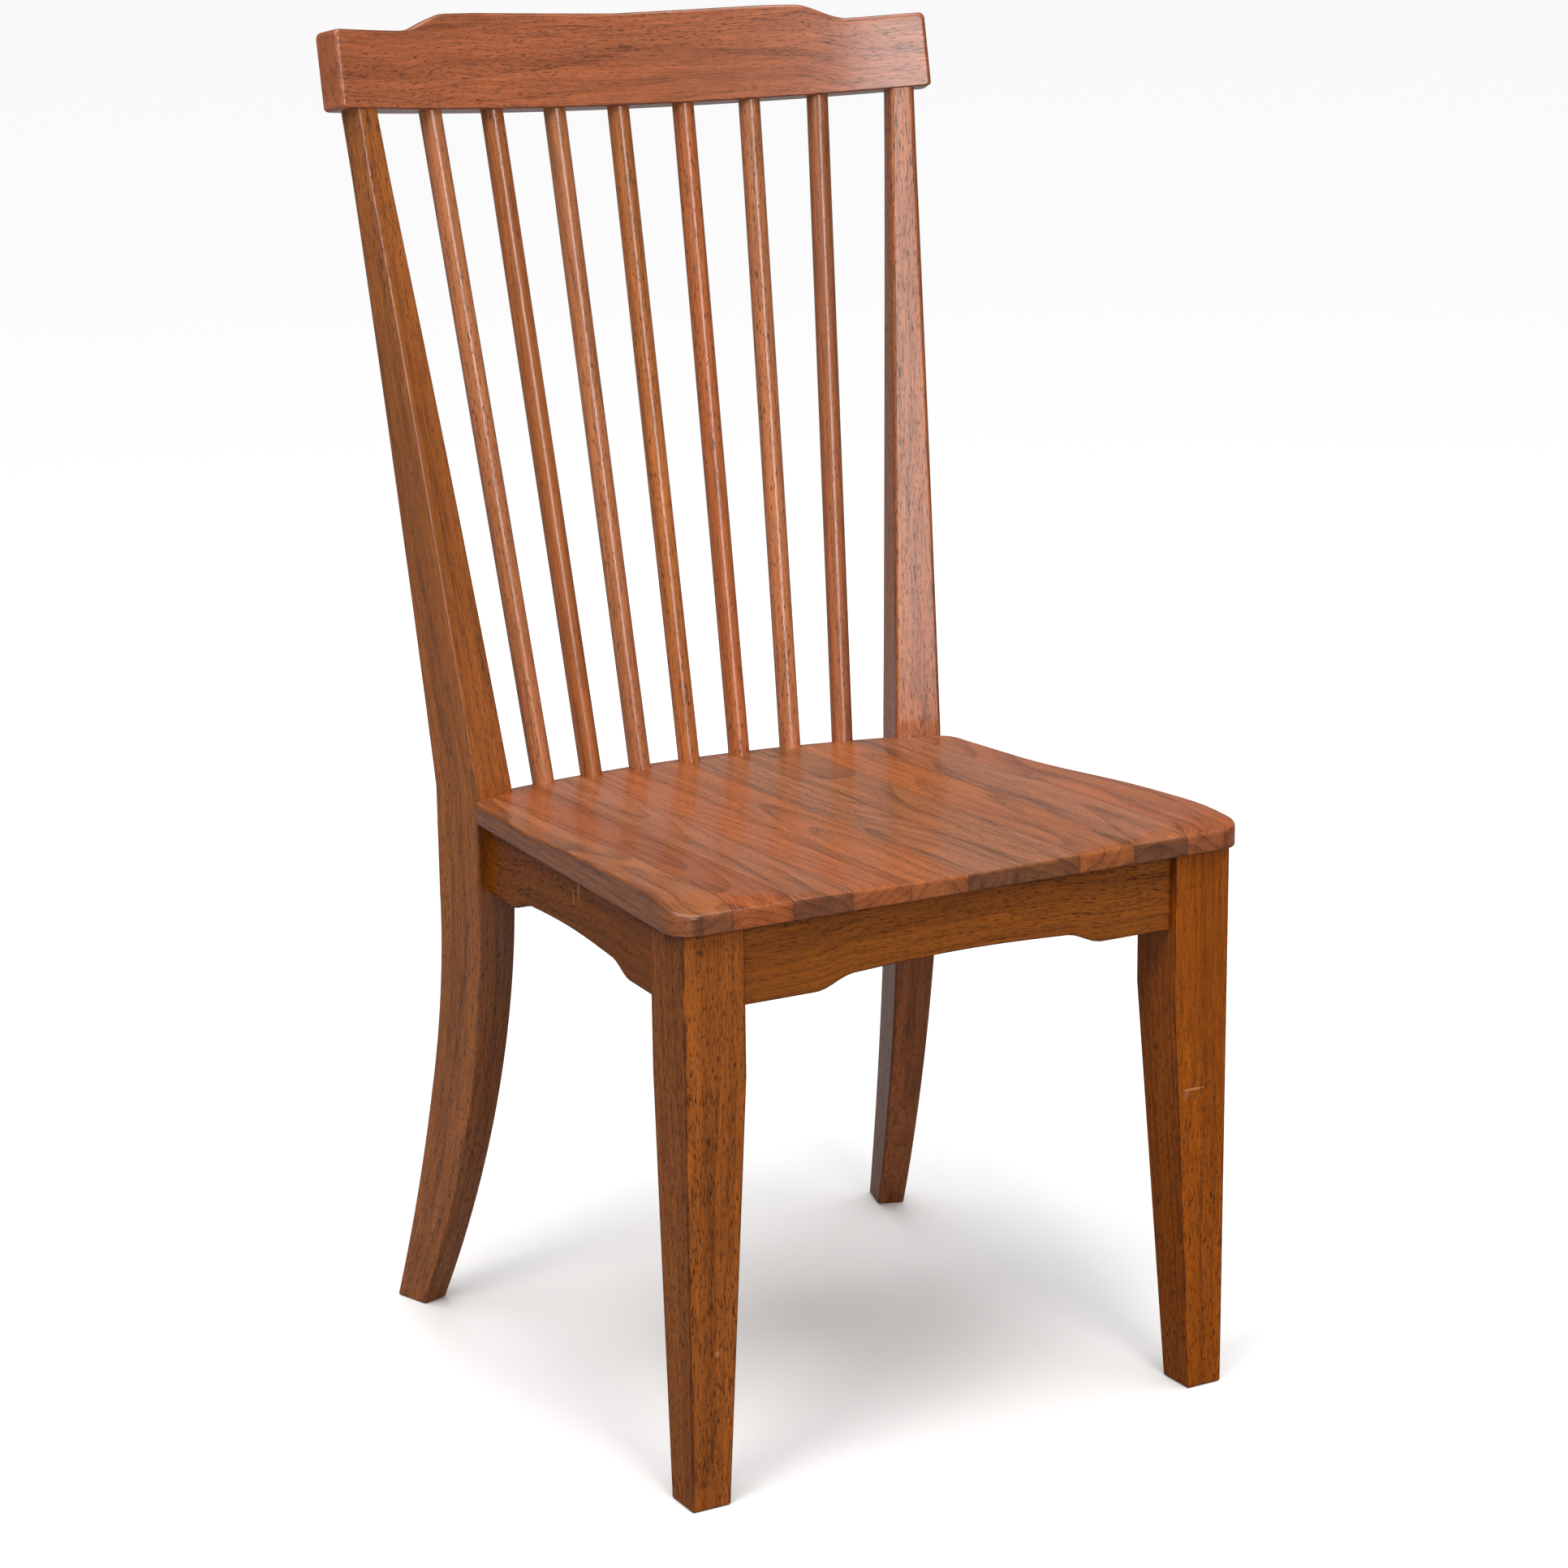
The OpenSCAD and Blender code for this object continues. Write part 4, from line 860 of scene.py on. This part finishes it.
class CHAIR_OT_rail(bpy.types.Operator):
    """Crest rail: an arc of constant thickness with soft shoulders and flat ears"""

    bl_idname = "chair.rail"
    bl_label = "Crest rail"

    def execute(self, context):
        k, looks = Shapes(context.scene), materials(context.scene)
        half = math.asin((mm(k.back.top_x) + mm(k.back.rail_over)) / k.rail_r)
        c, n = cosd(k.lean), sind(k.lean)

        def at(u, v, t, face):
            """Arc: u turns about the rail's centre, v climbs from the lower face to the shaped top."""
            inset, drop = quarter_round(RAIL_ARRIS, t)
            rad = k.rail_r + drop if face > 0 else k.rail_r + k.rail_t - drop
            turn = lerp(-half + inset / k.rail_r, half - inset / k.rail_r, u)
            x, y = rad * np.sin(turn), -k.rail_r + rad * np.cos(turn)
            high = k.rail_top(x)
            run = k.rail_r * turn
            near = np.clip(RAIL_TIP - (half * k.rail_r - inset - np.abs(run)), 0.0, RAIL_TIP)
            corner = RAIL_TIP - np.sqrt(RAIL_TIP**2 - near * near)
            z = lerp(0.45 * inset + 0.6 * corner, high - inset - corner, v)
            deep = rad - k.rail_r - k.rail_t / 2
            world = np.stack([x, k.rail_y + y * c + z * n, k.rail_z - y * n + z * c], 1)
            return world, facts_of(z - high / 2, deep, run, high / 2, k.rail_t / 2, half * k.rail_r)

        rng = np.random.default_rng(RNG_SEED + 20)
        end = 0.012  # share of the length with a finer grid, for the rounded end
        tip = end * np.sin(np.linspace(0.0, math.pi / 2, 9)) ** 2
        us = np.concatenate([tip, np.linspace(end, 1.0 - end, 121)[1:-1], 1.0 - tip[::-1]])
        obj = slab("crest_rail_board", at, us, np.linspace(0, 1, 11), rng)
        settle(obj, "crest_wood", looks["rail_wood"], "crest_rail")
        return {"FINISHED"}


class CHAIR_OT_posts(bpy.types.Operator):
    """Two back posts: kicked-back feet, a square block at the seat, then a taper with rounder corners"""

    bl_idname = "chair.posts"
    bl_label = "Back posts"

    def execute(self, context):
        k, looks = Shapes(context.scene), materials(context.scene)
        low, high, top = k.post_low, k.post_high, k.axis_high[2] + POST_IN_RAIL
        runs = (np.linspace(3.0, low, 44), np.linspace(low, high, 8)[1:], np.linspace(high, top, 50)[1:])
        z = np.concatenate([[0.0, 0.4, POST_BEVEL], *runs])
        foot_mid, foot_w = k.pw / 2 - FOOT_SHIFT, mm(k.back.foot_w)
        top_mid, top_w = k.axis_high[0], mm(k.back.top_w)
        rise, above = z / low, np.clip((z - high) / (k.rail_z - high), 0, 1.02)
        below = z < low
        bevel = np.clip(POST_BEVEL - z, 0, POST_BEVEL)
        inner, outer = (
            np.where(below, lerp(foot_mid + r * foot_w, block, rise), lerp(block, top_mid + r * top_w, above))
            for r, block in ((-0.5, 0.0), (0.5, k.pw))
        )
        inner, outer = inner + bevel, outer - bevel
        front, depth = k.post_face(z) + bevel, k.post_depth(z) - 2 * bevel
        radius = lerp(*POST_SOFT, above)
        a, b = round_box(inner, outer, front, front + depth, radius, 7)
        c, n = cosd(k.turn), sind(k.turn)
        inner, outer, front, depth, z = (v[:, None] for v in (inner, outer, front, depth, z))
        rings = np.stack(np.broadcast_arrays(k.px + a * c + b * n, k.py - a * n + b * c, z), -1)
        soft = 0.28 * radius[:, None]
        # The arris starts a little inside the corner, and the hidden top is too far off to show as end grain
        facts = facts_of(
            a - (inner + outer) / 2, b - (front + depth / 2), z - top / 2,
            (outer - inner) / 2 - soft, depth / 2 - soft, top / 2 + 40.0,
        )
        for name, side, seed in (("right_post_bar", False, 30), ("left_post_bar", True, 31)):
            obj = loft(name, rings, facts, np.random.default_rng(RNG_SEED + seed), mirror=side)
            settle(obj, "post_wood", looks["post_wood"], "left_back_post" if side else "right_back_post")
        return {"FINISHED"}


class CHAIR_OT_spindles(bpy.types.Operator):
    """Seven straight round spindles from the seat up into the crest rail"""

    bl_idname = "chair.spindles"
    bl_label = "Spindles"

    def execute(self, context):
        k, looks = Shapes(context.scene), materials(context.scene)
        low, high = mm(k.back.spindle_low), mm(k.back.spindle_high)
        r = mm(k.back.spindle_d) / 2
        turn = np.linspace(0, 2 * math.pi, 33)[:-1]
        ring_a, ring_b = (r - SPINDLE_CLEAR) * np.cos(turn), (r - SPINDLE_CLEAR) * np.sin(turn)
        for n in range(-3, 4):
            back = k.back_y - mm(k.back.spindle_set) - (n * low) ** 2 / (2 * k.arc_r)
            foot = np.array([n * low, back, k.z0 + SPINDLE_START])
            head = k.rail_point(np.array([n * high]))[0]
            way = (head - foot) / np.linalg.norm(head - foot)
            end = np.linalg.norm(head - foot) + SPINDLE_IN_RAIL
            side = np.cross([0.0, 1.0, 0.0], way)
            side /= np.linalg.norm(side)
            deep = np.cross(way, side)
            run = np.concatenate([np.linspace(0, 30, 10), np.linspace(30, end, 26)[1:]])[:, None]
            rings = foot + run[..., None] * way + ring_a[:, None] * side + ring_b[:, None] * deep
            facts = facts_of(ring_a, ring_b, run - end / 2, r, r, end / 2)
            obj = loft(f"spindle_bar_{n + 4}", rings, facts, np.random.default_rng(RNG_SEED + 50 + n))
            settle(obj, "spindle_wood", looks["spindle_wood"], f"spindle_{n + 4}")
        return {"FINISHED"}


class CHAIR_OT_legs(bpy.types.Operator):
    """Two front legs, tapered on their inner faces, with a flat on the inner corner for the block"""

    bl_idname = "chair.legs"
    bl_label = "Front legs"

    def execute(self, context):
        k, looks = Shapes(context.scene), materials(context.scene)
        g = k.base
        half, w, taper, cut = mm(g.spread) / 2, mm(g.leg_w), mm(g.taper), mm(g.cut)
        stop = k.apron_z - 1.0  # foot of the corner's flat
        runs = ((4, taper, 34), (taper + 4, stop - 14, 8), (stop - 12, stop + 2, 18), (stop + 8, k.z0, 8))
        z = np.concatenate([[0.0, 0.5, LEG_BEVEL], *(np.linspace(*run) for run in runs)])
        down = np.clip(1.0 - z / taper, 0, 1)
        bevel = np.clip(LEG_BEVEL - z, 0, LEG_BEVEL)
        inner = lerp(half - w, half - mm(g.foot_w), down) + bevel
        depth = lerp(w, mm(g.foot_d), down) - bevel
        a, b = round_box(inner, half - bevel, bevel, depth, np.full_like(z, LEG_ARRIS))
        fall = np.clip(stop - z, 0.0, LEG_RUN_OUT)
        arc = LEG_RUN_OUT - np.sqrt(LEG_RUN_OUT**2 - fall**2)
        deep = np.clip(cut * cosd(45) - arc, 0.0, None) * math.sqrt(2.0)
        inner, depth, deep, z = (v[:, None] for v in (inner, depth, deep, z))
        half_a, half_b = (half - inner) / 2, depth / 2
        # The second corner in the ring is the inner rear one: its points slide along the flat
        slide, rows, on_flat = np.linspace(1.0, 0.0, 6), slice(6, 12), deep > 3.0
        a[:, rows] = np.where(on_flat, inner + deep * slide, a[:, rows])
        b[:, rows] = np.where(on_flat, depth - deep * (1.0 - slide), b[:, rows])
        rings = np.stack(np.broadcast_arrays(a, b, z), -1)
        facts = facts_of(a - (half - half_a), b - half_b, z - k.z0 / 2, half_a - 0.3, half_b - 0.3, k.z0 / 2)
        for name, side, seed in (("right_leg_bar", False, 60), ("left_leg_bar", True, 61)):
            obj = loft(name, rings, facts, np.random.default_rng(RNG_SEED + seed), mirror=side)
            settle(obj, "leg_wood", looks["leg_wood"], "left_front_leg" if side else "right_front_leg")
        return {"FINISHED"}


class CHAIR_OT_aprons(bpy.types.Operator):
    """Four aprons with a scalloped lower edge, between the legs and posts"""

    bl_idname = "chair.aprons"
    bl_label = "Aprons"

    def execute(self, context):
        k, looks = Shapes(context.scene), materials(context.scene)
        g = k.base
        half, w, thick, back = mm(g.spread) / 2, mm(g.leg_w), mm(g.apron_t), mm(g.reveal)

        def board(start, end, bare, first, flat, lay):
            """Board from start to end: its lower edge is the scallop curve, and lay puts it in its place."""
            def at(u, v, t, face):
                inset, drop = quarter_round(1.0, t)
                run = lerp(start, end, u)
                low = k.apron_edge(np.clip(run - first, 0, bare), bare, flat)
                z = lerp(low + inset, k.z0, v)
                deep = drop if face > 0 else thick - drop
                facts = facts_of(
                    z - (low + k.z0) / 2, deep - thick / 2, run - (start + end) / 2,
                    (k.z0 - low) / 2, thick / 2, (end - start) / 2,
                )
                return np.stack(np.broadcast_arrays(*lay(run, deep), z), 1), facts
            return at

        out_x, clear = half - back, half - w
        meet = k.pw - APRON_MEET
        end = np.array([k.px + meet * cosd(k.turn), k.py - meet * sind(k.turn)])
        toe, run_side = math.atan2(out_x - end[0], end[1] - w), math.hypot(out_x - end[0], end[1] - w)
        gap = k.px + APRON_BEHIND * math.tan(math.radians(k.turn))
        cos_toe, sin_toe = math.cos(toe), math.sin(toe)
        rear_y = k.py + APRON_BEHIND
        # The rear and side boards run on a few millimetres inside the posts and legs
        front = board(-clear, clear, 2 * clear, -clear, PLAIN_FRONT, lambda run, deep: (run, back + deep))
        rear = board(-gap - 5, gap + 5, 2 * gap, -gap, PLAIN_REAR, lambda run, deep: (run, rear_y + deep))
        side = board(
            -2.0, run_side + 8.0, run_side, 0.0, PLAIN_SIDE,
            lambda run, deep: (out_x - deep * cos_toe - run * sin_toe, w - deep * sin_toe + run * cos_toe),
        )
        us, vs = np.linspace(0, 1, 65), np.linspace(0, 1, 5)
        jobs = (
            ("front_apron_board", front, False, "front_apron"),
            ("rear_apron_board", rear, False, "rear_apron"),
            ("right_apron_board", side, False, "right_side_apron"),
            ("left_apron_board", side, True, "left_side_apron"),
        )
        for n, (name, at, mirrored, node) in enumerate(jobs):
            obj = slab(name, at, us, vs, np.random.default_rng(RNG_SEED + 70 + n), mirror=mirrored, turns=3)
            settle(obj, "apron_wood", looks["apron_wood"], node)
        return {"FINISHED"}


class CHAIR_OT_fittings(bpy.types.Operator):
    """Finishes for the corner blocks, dowels, bolts, washers, nuts and screws, which keep their own shape"""

    bl_idname = "chair.fittings"
    bl_label = "Blocks and fittings"

    def execute(self, context):
        looks = materials(context.scene)
        jobs = {
            "block_wood": ("front_left_block", "front_right_block", "rear_left_block", "rear_right_block"),
            "dowel_wood": ("apron_dowels",),
            "zinc_steel": ("hanger_bolts", "bolt_washers", "bolt_nuts"),
            "yellow_steel": ("block_screws", "seat_screws"),
        }
        for finish, nodes in jobs.items():
            for node in nodes:
                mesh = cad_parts[node].data
                mesh.materials.clear()
                mesh.materials.append(looks[finish])
        return {"FINISHED"}


class CHAIR_OT_stage(bpy.types.Operator):
    """Pale floor, soft studio light and the camera"""

    bl_idname = "chair.stage"
    bl_label = "Stage"

    def execute(self, context):
        scene = context.scene
        p = scene.chair_stage
        mesh = bpy.data.meshes.new("floor")
        far = 300.0
        mesh.from_pydata([(-far, -far, 0), (far, -far, 0), (far, far, 0), (-far, far, 0)], [], [(0, 1, 2, 3)])
        floor = bpy.data.objects.new("floor", mesh)
        scene.collection.objects.link(floor)
        floor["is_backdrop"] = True
        m, tree, shader = new_material("floor_paint")
        seen = put(tree, "ShaderNodeLightPath")
        tone = mix(tree, seen, tuple(p.bounce * c for c in p.floor) + (1.0,), (*p.floor, 1.0))
        feed(tree, shader, {"Base Color": tone, "Roughness": 0.9, "Specular IOR Level": 0.2})
        mesh.materials.append(m)

        world = bpy.data.worlds.new("studio")
        scene.world = world
        world.use_nodes = True
        tree = world.node_tree
        glow = calc(tree, "MULTIPLY_ADD", put(tree, "ShaderNodeLightPath"), 1.0 - p.fill, p.fill)
        feed(tree, tree.nodes["Background"], {"Color": (1.0, 1.0, 1.0, 1.0), "Strength": glow})

        def softbox(name, at, aim, wide, high, watts, tint=(1.0, 1.0, 1.0)):
            """Rectangular light at one point, facing another, that the camera doesn't see."""
            lamp = bpy.data.lights.new(name, "AREA")
            lamp.shape, lamp.size, lamp.size_y, lamp.energy, lamp.color = "RECTANGLE", wide, high, watts, tint
            obj = bpy.data.objects.new(name, lamp)
            obj.location = at
            obj.visible_camera = False
            obj.rotation_euler = (Vector(aim) - Vector(at)).to_track_quat("-Z", "Y").to_euler()
            scene.collection.objects.link(obj)
            return obj

        over = bpy.data.lights.new("overhead", "SUN")
        over.energy, over.angle = p.key, math.radians(62.0)
        lamp = bpy.data.objects.new("overhead", over)
        lamp.rotation_euler = (math.radians(9.0), math.radians(-3.0), 0.0)
        scene.collection.objects.link(lamp)
        softbox("front", (-0.3, -3.2, 1.7), (0.0, 0.0, 0.8), 1.0, 1.5, p.front, (1.0, 0.95, 0.93))
        softbox("left", (-2.5, -1.3, 2.8), (0.0, 0.0, 0.6), 1.2, 1.5, p.left, (1.0, 0.96, 0.94))
        softbox("rear", (0.9, 3.2, 1.9), (0.0, 0.0, 0.6), 1.8, 1.4, p.rear).visible_glossy = False
        softbox("behind", (1.7, 3.0, 1.5), (0.0, 0.0, 0.45), 2.2, 1.2, p.behind, (1.0, 0.95, 0.93))

        cam = bpy.data.cameras.new("camera")
        cam.sensor_width, cam.lens = 36.0, p.lens
        cam.clip_start, cam.clip_end = 0.05, 1000.0
        level = math.cos(p.dip)
        look = Vector((math.sin(p.heading) * level, math.cos(p.heading) * level, -math.sin(p.dip)))
        right = Vector((math.cos(p.heading), -math.sin(p.heading), 0.0))
        up = right.cross(look)
        c, n = math.cos(p.roll), math.sin(p.roll)
        right, up = c * right + n * up, c * up - n * right
        obj = bpy.data.objects.new("camera", cam)
        turn = Matrix((right, up, -look)).transposed()
        obj.matrix_world = Matrix.Translation(Vector(p.eye)) @ turn.to_4x4()
        scene.collection.objects.link(obj)
        scene.camera = obj
        scene.view_settings.view_transform = "Standard"
        scene.view_settings.look = "None"
        return {"FINISHED"}


class CHAIR_PT_build(bpy.types.Panel):
    """Sizes, finishes and build steps of the chair"""

    bl_idname = "CHAIR_PT_build"
    bl_label = "Dining chair"
    bl_space_type = "VIEW_3D"
    bl_region_type = "UI"
    bl_category = "Chair"

    def draw(self, context):
        for key, group in GROUPS.items():
            box = self.layout.box()
            box.label(text=group.__doc__)
            for name in group.__annotations__:
                box.prop(getattr(context.scene, key), name)
        for step in STEPS:
            self.layout.operator(step.bl_idname)


GROUPS = {
    "chair_seat": CHAIR_PG_seat,
    "chair_back": CHAIR_PG_back,
    "chair_base": CHAIR_PG_base,
    "chair_finish": CHAIR_PG_finish,
    "chair_stage": CHAIR_PG_stage,
}
STEPS = (
    CHAIR_OT_seat, CHAIR_OT_rail, CHAIR_OT_posts, CHAIR_OT_spindles, CHAIR_OT_legs,
    CHAIR_OT_aprons, CHAIR_OT_fittings, CHAIR_OT_stage,
)


def register():
    for cls in (*GROUPS.values(), *STEPS, CHAIR_PT_build):
        bpy.utils.register_class(cls)
    for key, group in GROUPS.items():
        setattr(bpy.types.Scene, key, bpy.props.PointerProperty(type=group))


def unregister():
    for key in GROUPS:
        delattr(bpy.types.Scene, key)
    for cls in (CHAIR_PT_build, *reversed(STEPS), *reversed(list(GROUPS.values()))):
        bpy.utils.unregister_class(cls)


def main():
    register()
    bpy.ops.chair.seat()
    bpy.ops.chair.rail()
    bpy.ops.chair.posts()
    bpy.ops.chair.spindles()
    bpy.ops.chair.legs()
    bpy.ops.chair.aprons()
    bpy.ops.chair.fittings()
    bpy.ops.chair.stage()
    bpy.context.view_layer.update()
    low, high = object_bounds()
    sizes = {"cad": [list(CAD_LOW), list(CAD_HIGH)], "visual": [list(low), list(high)]}


if __name__ == "__main__":
    main()
